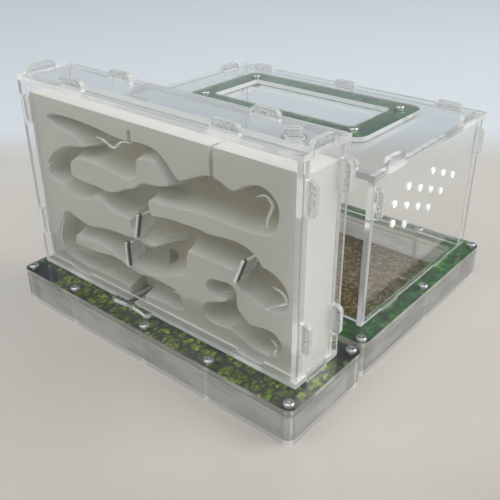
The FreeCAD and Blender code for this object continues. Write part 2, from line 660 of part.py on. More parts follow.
def sand_bed():
    """The layer of sand inside the arena base."""
    x, y, ring, screws = base_limits("arena")
    return block(grown(x, -ring - SAND_FIT), grown(y, -ring - SAND_FIT), (SHEET, SHEET + SAND_DEPTH))


def arena_parts():
    """Every fixed piece of the arena."""
    tabs = arena_tab_sets()
    sets = list(tabs.values())
    parts = base_stack("arena", "arena_picture_film", "arena_top_ring", True,
                       slots(sets, "bottom"))
    parts["sand_bed"] = sand_bed()
    parts["arena_front_wall"] = tabbed_panel(HALL_INNER_X, HALL_FRONT_Y, HALL_Z, tabs["front"],
                                             [tube_hole(HALL_FRONT_Y)])
    parts["arena_rear_wall"] = tabbed_panel(HALL_INNER_X, HALL_REAR_Y, HALL_Z, tabs["rear"])
    parts["arena_left_wall"] = tabbed_panel((HALL_X[0], HALL_INNER_X[0]), HALL_Y, HALL_Z,
                                            tabs["left"], slots(sets, "left"))
    parts["arena_right_wall"] = tabbed_panel((HALL_INNER_X[1], HALL_X[1]), HALL_Y, HALL_Z,
                                             tabs["right"], slots(sets, "right") + vent_holes())
    top_z = (HALL_Z[1], HALL_TOP)
    opening = block(grown(LID_X, -LID_LIP), grown(LID_Y, -LID_LIP), grown(top_z, OVERSHOOT))
    top_x = (HALL_X[0] - ARENA_TOP_LEFT_OVERHANG, HALL_X[1] + ARENA_TOP_OVERHANG)
    top = block(top_x, grown(HALL_Y, ARENA_TOP_OVERHANG), top_z)
    parts["arena_top_panel"] = cut_all(top, slots(sets, "top") + [opening])
    screw = cap_screw(BASE_TOP - SCREW_TIP_GAP)
    parts["arena_screws"] = copies(screw, arena_screw_places(), BASE_TOP)
    return parts


# Lid
def lid_screw_places():
    """The four corner screws of the lid."""
    xs = grown(LID_X, -LID_SCREW_INSET)
    ys = grown(LID_Y, -LID_SCREW_INSET)
    return [(x, y) for x in xs for y in ys]


def lid_layer(z, is_ring):
    """The printed frame or its film, with the opening and the screw holes."""
    sheet = rounded_block(LID_X, LID_Y, z, LID_CORNER)
    tools = [drill(SCREW_SHANK + SCREW_CLEARANCE, place, grown(z, OVERSHOOT)) for place in lid_screw_places()]
    if is_ring:
        inner = rounded_block(grown(LID_X, -LID_BAR), grown(LID_Y, -LID_BAR), grown(z, OVERSHOOT),
                              LID_OPENING_CORNER)
        tools.append(inner)
    return cut_all(sheet, tools)


def lid_parts():
    """The lid: window pane, film, frame, screws and nuts."""
    pane_z = (HALL_Z[1], HALL_TOP)
    film_z = (HALL_TOP, HALL_TOP + FILM)
    frame_z = (film_z[1], film_z[1] + SHEET)
    inset = -LID_LIP - LID_FIT
    pane = block(grown(LID_X, inset), grown(LID_Y, inset), pane_z)
    holes = [drill(SCREW_SHANK + SCREW_CLEARANCE, place, grown(pane_z, OVERSHOOT))
             for place in lid_screw_places()]
    nut = hexagon(NUT_FLATS, (-NUT_HEIGHT, 0)).cut(
        drill(SCREW_SHANK + SCREW_TAPPED, (0, 0), (-NUT_HEIGHT - OVERSHOOT, OVERSHOOT)))
    length = frame_z[1] - pane_z[0] + NUT_HEIGHT + LID_SCREW_SPARE
    return {
        "lid_window": cut_all(pane, holes),
        "lid_picture_film": lid_layer(film_z, True),
        "lid_frame": lid_layer(frame_z, True),
        "lid_screws": copies(cap_screw(length), lid_screw_places(), frame_z[1]),
        "lid_nuts": copies(nut, lid_screw_places(), pane_z[0]),
    }


def main():
    """Build every piece and write one file for each."""
    os.makedirs("parts", exist_ok=True)
    parts = {}
    parts.update(nest_parts())
    parts.update(arena_parts())
    parts.update(lid_parts())
    parts["connecting_tube"] = connecting_tube()
    for name, shape in parts.items():
        shape.exportStep("parts/%s.step" % name)
        print(name, len(shape.Solids), round(shape.Volume, 1), shape.isValid())
    print("pieces", len(parts))


main()
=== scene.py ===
"""Looks of the ant habitat: clear cut sheet, carved plaster, print, sand and steel screws."""
import logging
import math
from dataclasses import dataclass, field
from enum import Enum

import bmesh
import bpy
import numpy as np
from mathutils import Matrix, Vector


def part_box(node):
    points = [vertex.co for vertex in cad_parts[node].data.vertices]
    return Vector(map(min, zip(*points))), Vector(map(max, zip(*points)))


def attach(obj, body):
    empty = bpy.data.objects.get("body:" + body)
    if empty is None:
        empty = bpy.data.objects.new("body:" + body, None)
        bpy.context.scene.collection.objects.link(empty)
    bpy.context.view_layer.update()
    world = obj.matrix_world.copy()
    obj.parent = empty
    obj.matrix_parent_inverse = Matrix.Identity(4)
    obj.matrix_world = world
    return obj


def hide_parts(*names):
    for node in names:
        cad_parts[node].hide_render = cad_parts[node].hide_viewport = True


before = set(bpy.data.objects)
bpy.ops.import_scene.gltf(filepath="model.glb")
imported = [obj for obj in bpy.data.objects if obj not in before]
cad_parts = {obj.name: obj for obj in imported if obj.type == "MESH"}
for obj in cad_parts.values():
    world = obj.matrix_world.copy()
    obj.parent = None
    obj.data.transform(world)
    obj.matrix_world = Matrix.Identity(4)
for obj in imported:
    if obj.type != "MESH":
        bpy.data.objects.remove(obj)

logging.basicConfig(level=logging.INFO, format="%(name)s: %(message)s")
LOG = logging.getLogger("ant_habitat")

MM = 0.001
HABITAT = "habitat"
ACRYLIC_IOR = 1.49
BAR_REACH = 4.4
GATES = ("gallery_gate_1", "gallery_gate_2", "gallery_gate_3")

# Gallery plan on the block's face: (across, up, half width) stations in millimetres.
GALLERIES = (
    ((15, 89, 2.5), (24, 88.3, 4), (35, 87.7, 4.8), (45, 86.1, 6), (56, 86.5, 4.8), (67, 85, 5),
     (77, 84, 6)),
    ((73, 84.5, 4.4), (84, 87, 4), (90, 87.5, 3.4), (96, 86.8, 3), (101, 83.8, 2.8),
     (104.5, 80, 2.8), (108, 76, 3.5), (112, 72.5, 5)),
    ((11, 58, 5), (18, 60.5, 9), (22, 67.5, 5.5), (27, 71.5, 4), (33, 73.7, 3.2), (43, 75.2, 3.8),
     (53, 77, 5.8), (63, 78.5, 8.5), (74, 77.5, 8.5)),
    ((22, 56.3, 5.2), (28, 53, 5.9), (35, 52.5, 5.6), (43, 54.5, 3.8), (51, 54.7, 3.5),
     (58, 53, 4.8), (66, 53.3, 6.3), (74, 55.5, 8), (81, 59.5, 6.2)),
    ((84.2, 59.5, 4.4), (84.7, 53.5, 4.6), (85, 47.5, 5)),
    ((78, 58, 4.5), (85, 65, 4.5), (91, 67, 4), (99, 67.5, 4.6), (107, 69, 5.5), (115, 72, 7),
     (124, 74.3, 8.8), (132, 76, 10), (140, 74.5, 8.4), (148, 74.3, 8.6), (155, 76.5, 10.5),
     (160, 79, 10.5)),
    ((150, 74, 6.5), (163, 73.2, 6.3)),
    ((80, 46, 6.8), (87, 46, 7.5), (95, 46.7, 8), (103, 48.8, 7.3), (111, 50.1, 6.4),
     (120, 49.9, 7), (131, 49.7, 7), (141, 50.3, 7.6), (149, 50, 7.8), (154, 47.5, 8)),
    ((152, 39.5, 6), (158, 41, 9), (164, 40, 10), (167.5, 38, 9)),
    ((20, 30, 5.5), (29, 26.8, 6), (37, 27.2, 4.7), (45, 27.8, 5), (53, 28.5, 6), (61, 28, 7.3),
     (69, 27.5, 8), (77, 28, 8.5), (85, 27, 8), (93, 28.5, 8), (101, 32.5, 8.3), (106, 34.5, 8.3)),
    ((104, 34.5, 5.2), (107.5, 39, 5), (110, 43.5, 5)),
    ((22, 31, 4), (18.5, 24.5, 6), (15.5, 16, 7.5), (17, 11, 6.5)),
    ((19, 10, 5.2), (28, 9.8, 6), (38, 10, 6), (48, 10.8, 6.6), (58, 11.5, 7.3), (68, 10, 6.5),
     (78, 9.4, 6.2), (88, 10.5, 6.5), (98, 10.6, 6), (105, 10.2, 6.2)),
    ((131, 28, 4.8), (136, 28.5, 5), (141.5, 29.5, 4.8)),
    ((141.5, 28, 3.5), (142.5, 22.5, 3.6), (142.5, 17, 3.4)),
    ((129, 13, 5.8), (136, 14.5, 6.5), (142, 16, 7), (147, 13.5, 6.2), (153, 11, 5.5),
     (160, 10.7, 6.7), (166, 11.4, 7.4)),
)

# Ridges at gallery ends, milky so they show as bright glints (painted highlights): (across, up)
# points in millimetres.
GLINT_RUNS = (
    ((157, 83.5), (162, 85.5), (166, 82.5), (165, 78.5), (163.5, 75), (163, 71), (159, 70.5)),
    ((167, 42.5), (172, 41.5), (175, 37.5), (171, 34.5), (162, 28.5)),
    ((166, 13.5), (169.5, 11.5), (169, 6.5), (166, 4), (162, 2.5)),
    ((101.5, 14), (106, 15), (109.5, 12), (109, 8.5), (106, 6.5)),
    ((9.1, 62.1), (5.8, 58.5), (6.2, 54.6), (10.5, 52.3), (17.8, 48.4)),
    ((14.0, 28.5), (10.0, 20.4), (8.6, 13.0), (9.8, 8.3), (13.5, 5.9)),
    ((52.0, 86.8), (58.1, 86.1), (65.4, 84.1), (72.1, 88.6), (79.4, 89.4)),
)


class Broad(Enum):
    """The axis that a sheet's broad faces look along."""

    X = (1.0, 0.0, 0.0)
    Y = (0.0, 1.0, 0.0)
    Z = (0.0, 0.0, 1.0)


class Graph:
    """Adds and joins the nodes of one node tree."""

    def __init__(self, tree: bpy.types.NodeTree) -> None:
        """Keep the tree that nodes go into."""
        self.tree = tree

    def node(self, kind: str, **settings: object) -> bpy.types.Node:
        """Add one node.

        Args:
            kind: the node's type name.
            settings: attributes to set on it.

        Returns:
            The new node.
        """
        node = self.tree.nodes.new(kind)
        for name, value in settings.items():
            setattr(node, name, value)
        return node

    def feed(self, socket: bpy.types.NodeSocket, value: object) -> None:
        """Give a socket a link or a plain value.

        Args:
            socket: the input to set.
            value: an output socket, or a value.
        """
        if isinstance(value, bpy.types.NodeSocket):
            self.tree.links.new(value, socket)
        elif value is not None:
            socket.default_value = value

    def math(self, operation: str, first: object, second: object = None,
             third: object = None, clamp: bool = False) -> bpy.types.NodeSocket:
        """Add a Math node and return its value."""
        node = self.node("ShaderNodeMath", operation=operation, use_clamp=clamp)
        for socket, value in zip(node.inputs, (first, second, third)):
            self.feed(socket, value)
        return node.outputs[0]

    def vector(self, operation: str, first: object, second: object = None,
               output: str = "Vector") -> bpy.types.NodeSocket:
        """Add a Vector Math node and return the named output."""
        node = self.node("ShaderNodeVectorMath", operation=operation)
        self.feed(node.inputs[0], first)
        self.feed(node.inputs[1], second)
        return node.outputs[output]

    def mix(self, factor: object, first: object, second: object,
            blend: str = "MIX") -> bpy.types.NodeSocket:
        """Mix two colours and return the result."""
        node = self.node("ShaderNodeMix", data_type="RGBA", blend_type=blend)
        self.feed(node.inputs["Factor"], factor)
        self.feed(node.inputs[6], first)
        self.feed(node.inputs[7], second)
        return node.outputs[2]

    def ramp(self, value: object, low: float, high: float) -> bpy.types.NodeSocket:
        """Map a value smoothly from low..high to 0..1."""
        node = self.node("ShaderNodeMapRange", interpolation_type="SMOOTHSTEP")
        self.feed(node.inputs["Value"], value)
        node.inputs["From Min"].default_value = low
        node.inputs["From Max"].default_value = high
        return node.outputs[0]

    def noise(self, vector: object, scale: object, detail: float = 3.0,
              roughness: float = 0.5, output: str = "Fac") -> bpy.types.NodeSocket:
        """Add a Noise Texture and return the named output."""
        node = self.node("ShaderNodeTexNoise")
        self.feed(node.inputs["Vector"], vector)
        self.feed(node.inputs["Scale"], scale)
        node.inputs["Detail"].default_value = detail
        node.inputs["Roughness"].default_value = roughness
        return node.outputs[output]

    def voronoi(self, vector: object, scale: object, feature: str = "F1",
                output: str = "Distance") -> bpy.types.NodeSocket:
        """Add a Voronoi Texture and return the named output."""
        node = self.node("ShaderNodeTexVoronoi", feature=feature)
        self.feed(node.inputs["Vector"], vector)
        self.feed(node.inputs["Scale"], scale)
        return node.outputs[output]

    def place(self) -> bpy.types.NodeSocket:
        """Return the Object coordinates."""
        return self.node("ShaderNodeTexCoord").outputs["Object"]

    def stretch(self, vector: object, scale: tuple[float, float, float],
                turn: tuple[float, float, float] = (0.0, 0.0, 0.0)) -> bpy.types.NodeSocket:
        """Scale and turn a pattern's coordinates."""
        node = self.node("ShaderNodeMapping")
        self.feed(node.inputs["Vector"], vector)
        node.inputs["Scale"].default_value = scale
        node.inputs["Rotation"].default_value = turn
        return node.outputs[0]

    def red(self, colour: bpy.types.NodeSocket) -> bpy.types.NodeSocket:
        """Return the red part of a colour."""
        node = self.node("ShaderNodeSeparateColor")
        self.feed(node.inputs[0], colour)
        return node.outputs[0]

    def axis(self, name: str) -> bpy.types.NodeSocket:
        """Return one axis of the Object coordinates."""
        node = self.node("ShaderNodeSeparateXYZ")
        self.feed(node.inputs[0], self.place())
        return node.outputs[name]

    def bump(self, height: object, strength: float, distance: float) -> bpy.types.NodeSocket:
        """Add a Bump node and return its normal."""
        node = self.node("ShaderNodeBump")
        node.inputs["Strength"].default_value = strength
        node.inputs["Distance"].default_value = distance
        self.feed(node.inputs["Height"], height)
        return node.outputs[0]

    def group(self, tree: bpy.types.NodeTree, **inputs: object) -> bpy.types.Node:
        """Place a shared effect with its own values."""
        node = self.node("ShaderNodeGroup")
        node.node_tree = tree
        for name, value in inputs.items():
            self.feed(node.inputs[name.replace("_", " ")], value)
        return node


def new_effect(name: str, inputs: dict[str, str], outputs: dict[str, str]) -> Graph:
    """Start a shared node group.

    Args:
        name: the group's name.
        inputs: socket name to socket type.
        outputs: socket name to socket type.

    Returns:
        The graph of the new group.
    """
    tree = bpy.data.node_groups.new(name, "ShaderNodeTree")
    for label, kind in inputs.items():
        tree.interface.new_socket(name=label, in_out="INPUT", socket_type=kind)
    for label, kind in outputs.items():
        tree.interface.new_socket(name=label, in_out="OUTPUT", socket_type=kind)
    return Graph(tree)


class SharedEffects:
    """The node groups that more than one finish uses."""

    VALUE = "NodeSocketFloat"
    COLOUR = "NodeSocketColor"
    VECTOR = "NodeSocketVector"

    def __init__(self) -> None:
        """Build every shared effect once."""
        self.cut_edge = self.build_cut_edge()
        self.smudges = self.build_smudges()
        self.leaf_print = self.build_leaf_print()
        self.pores = self.build_pores()
        self.crackle = self.build_crackle()

    def build_cut_edge(self) -> bpy.types.NodeTree:
        """The fine streaks across a sheet's sawn edge faces, as a height."""
        graph = new_effect("cut_edge", {"Broad": self.VECTOR}, {"Height": self.VALUE})
        given = graph.node("NodeGroupInput")
        result = graph.node("NodeGroupOutput")
        normal = graph.node("ShaderNodeNewGeometry").outputs["Normal"]
        along = graph.math("ABSOLUTE", graph.vector("DOT_PRODUCT", normal, given.outputs["Broad"],
                                                    "Value"))
        mask = graph.math("SUBTRACT", 1.0, graph.ramp(along, 0.55, 0.95))
        place = graph.place()
        lifted = graph.vector("DOT_PRODUCT", place, given.outputs["Broad"], "Value")
        through = graph.vector("SCALE", given.outputs["Broad"])
        graph.feed(through.node.inputs["Scale"], lifted)
        flat = graph.vector("SUBTRACT", place, through)
        streaks = graph.noise(flat, 2600.0, 2.0)
        waves = graph.noise(place, 330.0, 2.0)
        height = graph.math("MULTIPLY_ADD", waves, 3.0, streaks)
        graph.feed(result.inputs["Height"], graph.math("MULTIPLY", height, mask))
        return graph.tree

    def build_crackle(self) -> bpy.types.NodeTree:
        """Crazed glue on everything that stands out of a box, as a height."""
        graph = new_effect("crackle", {"Low": self.VECTOR, "High": self.VECTOR},
                           {"Height": self.VALUE})
        given = graph.node("NodeGroupInput")
        result = graph.node("NodeGroupOutput")
        place = graph.place()
        above = graph.vector("SUBTRACT", place, given.outputs["High"])
        below = graph.vector("SUBTRACT", given.outputs["Low"], place)
        part = graph.node("ShaderNodeSeparateXYZ")
        graph.feed(part.inputs[0], graph.vector("MAXIMUM", above, below))
        most = graph.math("MAXIMUM", part.outputs["X"],
                          graph.math("MAXIMUM", part.outputs["Y"], part.outputs["Z"]))
        mask = graph.ramp(most, 0.0001, 0.0006)
        cells = graph.voronoi(place, 650.0, "SMOOTH_F1")
        grit = graph.noise(place, 900.0, 3.0, 0.7)
        height = graph.math("MULTIPLY", graph.math("ADD", cells, grit), mask)
        graph.feed(result.inputs["Height"], height)
        return graph.tree

    def build_smudges(self) -> bpy.types.NodeTree:
        """Uneven cleanness of a glossy face, from low to high roughness."""
        graph = new_effect("smudges", {"Low": self.VALUE, "High": self.VALUE},
                           {"Roughness": self.VALUE})
        given = graph.node("NodeGroupInput")
        result = graph.node("NodeGroupOutput")
        cloud = graph.ramp(graph.noise(graph.place(), 28.0, 5.0, 0.62), 0.42, 0.78)
        span = graph.math("SUBTRACT", given.outputs["High"], given.outputs["Low"])
        graph.feed(result.inputs["Roughness"],
                   graph.math("MULTIPLY_ADD", cloud, span, given.outputs["Low"]))
        return graph.tree

    def build_leaf_print(self) -> bpy.types.NodeTree:
        """A generic print of small overlapping leaves with dark gaps and thin twigs."""
        graph = new_effect(
            "leaf_print",
            {"Scale": self.VALUE, "Shade": self.COLOUR, "Leaf": self.COLOUR,
             "Tip": self.COLOUR, "Twigs": self.VALUE, "Patches": self.VALUE},
            {"Color": self.COLOUR})
        given = graph.node("NodeGroupInput")
        result = graph.node("NodeGroupOutput")
        scale = given.outputs["Scale"]
        place = graph.place()
        bend = graph.noise(place, graph.math("MULTIPLY", scale, 0.5), 2.0, 0.5, "Color")
        swirl = graph.vector("SCALE", graph.vector("SUBTRACT", bend, (0.5, 0.5, 0.5)))
        swirl.node.inputs["Scale"].default_value = 0.004
        turned = graph.vector("ADD", place, swirl)
        upright = graph.stretch(turned, (1.0, 0.6, 1.0), (0.0, 0.0, 0.6))
        leaning = graph.stretch(turned, (0.6, 1.0, 1.0), (0.0, 0.0, -0.5))
        first = graph.voronoi(upright, scale)
        second = graph.voronoi(leaning, graph.math("MULTIPLY", scale, 1.6))
        tone = graph.red(graph.voronoi(upright, scale, "F1", "Color"))
        fine = graph.red(graph.voronoi(leaning, graph.math("MULTIPLY", scale, 1.6), "F1",
                                       "Color"))
        light = graph.ramp(graph.math("MULTIPLY_ADD", fine, 0.6, tone), 0.55, 1.3)
        leaf = graph.mix(light, given.outputs["Leaf"], given.outputs["Tip"])
        gap = graph.ramp(first, 0.42, 0.8)
        cover = graph.mix(gap, leaf, given.outputs["Shade"])
        crease = graph.math("MULTIPLY", graph.ramp(second, 0.35, 0.75), 0.6)
        cover = graph.mix(crease, cover, given.outputs["Shade"])
        cloud = graph.ramp(graph.noise(place, 62.0, 3.0, 0.6), 0.4, 0.62)
        under = graph.math("MULTIPLY", graph.math("SUBTRACT", 1.0, cloud),
                           given.outputs["Patches"])
        cover = graph.mix(under, cover, given.outputs["Shade"])
        twig_lines = graph.voronoi(graph.stretch(turned, (1.0, 0.7, 1.0), (0.0, 0.0, 1.1)),
                                   graph.math("MULTIPLY", scale, 0.24), "DISTANCE_TO_EDGE")
        twig = graph.math("SUBTRACT", 1.0, graph.ramp(twig_lines, 0.05, 0.11))
        cover = graph.mix(graph.math("MULTIPLY", twig, given.outputs["Twigs"]), cover,
                          (0.004, 0.006, 0.003, 1.0))
        graph.feed(result.inputs["Color"], cover)
        return graph.tree

    def build_pores(self) -> bpy.types.NodeTree:
        """Fine pits and grains as a height, and a slow change of tone."""
        graph = new_effect("pores", {"Scale": self.VALUE},
                           {"Height": self.VALUE, "Tone": self.VALUE, "Pits": self.VALUE})
        given = graph.node("NodeGroupInput")
        result = graph.node("NodeGroupOutput")
        place = graph.place()
        fine = graph.noise(place, given.outputs["Scale"], 6.0, 0.65)
        cells = graph.voronoi(place, graph.math("MULTIPLY", given.outputs["Scale"], 0.6))
        pits = graph.ramp(cells, 0.0, 0.28)
        graph.feed(result.inputs["Height"],
                   graph.math("MULTIPLY_ADD", pits, 0.6, graph.math("MULTIPLY", fine, 0.5)))
        graph.feed(result.inputs["Tone"], graph.ramp(graph.noise(place, 26.0, 4.0), 0.3, 0.7))
        graph.feed(result.inputs["Pits"], graph.math("SUBTRACT", 1.0, pits))
        return graph.tree


def new_material(name: str) -> tuple[bpy.types.Material, Graph, bpy.types.Node]:
    """Start a material with a Principled shader.

    Args:
        name: the material's name.

    Returns:
        The material, its graph and the shader node.
    """
    material = bpy.data.materials.new(name)
    material.use_nodes = True
    graph = Graph(material.node_tree)
    shader = material.node_tree.nodes["Principled BSDF"]
    return material, graph, shader


def let_light_through(graph: Graph, shader: bpy.types.Node, shadow: float) -> None:
    """Make a clear finish's shadow as light as the real sheet's."""
    ray = graph.node("ShaderNodeLightPath").outputs["Is Shadow Ray"]
    graph.feed(shader.inputs["Alpha"], graph.math("MULTIPLY_ADD", ray, shadow - 1.0, 1.0))


@dataclass(frozen=True)
class ClearFinish:
    """Polished clear plastic."""

    name: str
    tint: tuple[float, float, float, float] = (0.985, 0.995, 0.992, 1.0)
    low_gloss: float = 0.0
    high_gloss: float = 0.02
    milk: float = 0.012
    shadow: float = 0.14
    box: tuple[tuple[float, float, float], tuple[float, float, float]] | None = None
    crazing: float = 0.9

    def build(self, effects: SharedEffects) -> bpy.types.Material:
        """Make the material: glass with a trace of haze, whose shadow lets light through.

        What stands out of the box, such as the ends of the tabs, is crazed by glue.
        """
        material, graph, shader = new_material(self.name)
        clean = graph.group(effects.smudges, Low=self.low_gloss, High=self.high_gloss)
        if self.box:
            crazed = graph.group(effects.crackle, Low=self.box[0], High=self.box[1])
            graph.feed(shader.inputs["Normal"],
                       graph.bump(crazed.outputs["Height"], self.crazing, 0.0007))
        shader.inputs["Transmission Weight"].default_value = 1.0 - self.milk
        shader.inputs["IOR"].default_value = ACRYLIC_IOR
        shader.inputs["Base Color"].default_value = self.tint
        graph.feed(shader.inputs["Roughness"], clean.outputs["Roughness"])
        let_light_through(graph, shader, self.shadow)
        return material


@dataclass(frozen=True)
class SawnEdgeFinish:
    """The cut edge of clear sheet: bright, a little frosted, with fine streaks across; it emits a
    little light, painted light for the light piped through the sheet.
    """

    name: str
    broad: Broad
    tint: tuple[float, float, float, float] = (0.95, 0.965, 0.955, 1.0)
    milk: float = 0.45
    gloss: float = 0.1
    shadow: float = 0.25
    streaks: float = 0.3
    painted_glow: float = 0.1
    painted_see_through_shade: float = 0.0

    def build(self, effects: SharedEffects) -> bpy.types.Material:
        """Make the material, with grey patches painted where the edge shows darker things behind
        it: painted shade.
        """
        material, graph, shader = new_material(self.name)
        edge = graph.group(effects.cut_edge, Broad=self.broad.value)
        clean = graph.group(effects.smudges, Low=self.gloss, High=self.gloss + 0.14)
        shader.inputs["Transmission Weight"].default_value = 1.0 - self.milk
        shader.inputs["IOR"].default_value = ACRYLIC_IOR
        if self.painted_see_through_shade:
            # Grey wisps on the edge are painted shade for the darker things seen through the sheet.
            wisps = graph.noise(graph.stretch(graph.place(), (1.0, 1.0, 4.0)), 34.0, 3.0, 0.5)
            patch = graph.math("MULTIPLY", graph.ramp(wisps, 0.36, 0.68), self.painted_see_through_shade)
            graph.feed(shader.inputs["Base Color"],
                       graph.mix(patch, self.tint, (0.42, 0.43, 0.40, 1.0)))
        else:
            shader.inputs["Base Color"].default_value = self.tint
        # Emission on the cut edge is painted light: it stands for light piped through the sheet,
        # though the edge is no lamp.
        shader.inputs["Emission Color"].default_value = self.tint
        shader.inputs["Emission Strength"].default_value = self.painted_glow
        graph.feed(shader.inputs["Roughness"], clean.outputs["Roughness"])
        graph.feed(shader.inputs["Normal"],
                   graph.bump(edge.outputs["Height"], self.streaks, 0.0002))
        let_light_through(graph, shader, self.shadow)
        return material


@dataclass(frozen=True)
class SlotWallFinish:
    """The wall of a narrow slot, dark because no light reaches it."""

    name: str = "slot_wall"
    colour: tuple[float, float, float, float] = (0.035, 0.028, 0.022, 1.0)

    def build(self, effects: SharedEffects) -> bpy.types.Material:
        """Make the material, with a little dust."""
        material, graph, shader = new_material(self.name)
        pores = graph.group(effects.pores, Scale=700.0)
        graph.feed(shader.inputs["Base Color"],
                   graph.mix(pores.outputs["Pits"], self.colour, (0.12, 0.10, 0.08, 1.0)))
        shader.inputs["Roughness"].default_value = 0.5
        return material


@dataclass(frozen=True)
class PrintFinish:
    """Printed leaf film under clear sheet."""

    name: str
    scale: float
    shade: tuple[float, float, float, float]
    leaf: tuple[float, float, float, float]
    tip: tuple[float, float, float, float]
    twigs: float
    patches: float
    dark_corners: tuple[tuple[float, float, float], ...] = ()
    corner_radius: float = 0.0085

    def build(self, effects: SharedEffects) -> bpy.types.Material:
        """Make the material, with dark patches round the given corners."""
        material, graph, shader = new_material(self.name)
        leaves = graph.group(effects.leaf_print, Scale=self.scale, Shade=self.shade,
                             Leaf=self.leaf, Tip=self.tip, Twigs=self.twigs,
                             Patches=self.patches)
        colour = leaves.outputs["Color"]
        place = graph.place()
        wobble = graph.math("MULTIPLY", graph.noise(place, 130.0, 2.0), 0.006)
        for corner in self.dark_corners:
            reach = graph.vector("DISTANCE", place, corner, "Value")
            reach = graph.math("ADD", reach, wobble)
            patch = graph.math("SUBTRACT", 1.0,
                               graph.ramp(reach, self.corner_radius, self.corner_radius + 0.0035))
            colour = graph.mix(patch, colour, (0.006, 0.007, 0.006, 1.0))
        graph.feed(shader.inputs["Base Color"], colour)
        shader.inputs["Roughness"].default_value = 0.42
        return material


@dataclass(frozen=True)
class PlasterFinish:
    """Cast plaster with fine pores, a little warmer where it is damp. Its sides and top are paler
    (painted light), its gallery floors darker (painted shade), and its front darker towards the
    bottom.
    """

    name: str = "plaster_cast"
    dry: tuple[float, float, float, float] = (0.78, 0.775, 0.63, 1.0)
    damp: tuple[float, float, float, float] = (0.73, 0.72, 0.575, 1.0)
    carved: tuple[float, float, float, float] = (0.49, 0.475, 0.325, 1.0)
    warm: tuple[float, float, float, float] = (0.42, 0.405, 0.24, 1.0)
    side: tuple[float, float, float, float] = (0.87, 0.87, 0.83, 1.0)
    foot: tuple[float, float, float, float] = (0.44, 0.45, 0.31, 1.0)
    front: float = -0.0808
    foot_top: float = 0.0335

    def build(self, effects: SharedEffects) -> bpy.types.Material:
        """Make the material."""
        material, graph, shader = new_material(self.name)
        pores = graph.group(effects.pores, Scale=900.0)
        colour = graph.mix(pores.outputs["Tone"], self.dry, self.damp)
        # Faces behind the front plane, the sides and top, take the paler side colour: painted light
        # on the lit faces against the shaded front.
        behind = graph.ramp(graph.axis("Y"), self.front + 0.0004, self.front + 0.0014)
        colour = graph.mix(behind, colour, self.side)
        # Pit bottoms are darkened: painted shade in the pores.
        painted_pit_shade = graph.math("MULTIPLY", pores.outputs["Pits"], 0.22)
        colour = graph.mix(painted_pit_shade, colour, (0.46, 0.43, 0.38, 1.0))
        # The front face is darker and yellower below a ragged line near its bottom.
        ragged = graph.math("MULTIPLY_ADD", graph.noise(graph.place(), 70.0, 2.0), -0.008,
                            graph.axis("Z"))
        low = graph.ramp(ragged, self.foot_top - 0.004, self.foot_top + 0.003)
        bottom_band = graph.math("SUBTRACT", 1.0, graph.math("MAXIMUM", low, behind))
        colour = graph.mix(bottom_band, colour, self.foot)
        # Gallery floors darken with their carved depth: painted shade in the recesses, browner
        # towards the right.
        recess_shade = graph.node("ShaderNodeAttribute", attribute_name="carved").outputs["Fac"]
        rightward = graph.ramp(graph.axis("X"), -0.05, 0.08)
        floor = graph.mix(rightward, self.carved, self.warm)
        colour = graph.mix(graph.math("MULTIPLY", recess_shade, 0.9), colour, floor)
        graph.feed(shader.inputs["Base Color"], colour)
        shader.inputs["Roughness"].default_value = 0.86
        graph.feed(shader.inputs["Normal"], graph.bump(pores.outputs["Height"], 0.3, 0.0004))
        return material


@dataclass(frozen=True)
class SandFinish:
    """Loose fine sand, browner in places, with painted shade in the pits between grains."""

    name: str = "arena_sand"
    grey: tuple[float, float, float, float] = (0.088, 0.062, 0.026, 1.0)
    brown: tuple[float, float, float, float] = (0.085, 0.043, 0.008, 1.0)

    def build(self, effects: SharedEffects) -> bpy.types.Material:
        """Make the material."""
        material, graph, shader = new_material(self.name)
        pores = graph.group(effects.pores, Scale=800.0)
        near_left = graph.math("SUBTRACT", 0.012, graph.axis("X"))
        tone = graph.math("MULTIPLY_ADD", near_left, 9.0, pores.outputs["Tone"])
        colour = graph.mix(graph.ramp(tone, 0.1, 1.1), self.grey, self.brown)
        grain = graph.voronoi(graph.place(), 650.0, "F1", "Color")
        shade = graph.ramp(graph.red(grain), 0.45, 1.0)
        colour = graph.mix(graph.math("MULTIPLY", shade, 0.8), colour, (0.34, 0.26, 0.13, 1.0))
        # Pit bottoms go near black: painted shade between the grains.
        dark = graph.math("MULTIPLY", pores.outputs["Pits"], 0.85)
        colour = graph.mix(dark, colour, (0.022, 0.015, 0.008, 1.0))
        graph.feed(shader.inputs["Base Color"], colour)
        shader.inputs["Roughness"].default_value = 0.9
        graph.feed(shader.inputs["Normal"], graph.bump(pores.outputs["Height"], 0.9, 0.0006))
        return material


@dataclass(frozen=True)
class SteelFinish:
    """Plain steel of screws and nuts, with turning marks."""

    name: str = "screw_steel"
    colour: tuple[float, float, float, float] = (0.80, 0.80, 0.79, 1.0)

    def build(self) -> bpy.types.Material:
        """Make the material."""
        material, graph, shader = new_material(self.name)
        fine = graph.noise(graph.place(), 2200.0, 3.0)
        dull = graph.ramp(fine, 0.3, 0.75)
        graph.feed(shader.inputs["Base Color"],
                   graph.mix(dull, self.colour, (0.60, 0.60, 0.59, 1.0)))
        graph.feed(shader.inputs["Roughness"], graph.math("MULTIPLY_ADD", dull, 0.16, 0.2))
        shader.inputs["Metallic"].default_value = 1.0
        graph.feed(shader.inputs["Normal"], graph.bump(fine, 0.08, 0.0002))
        return material


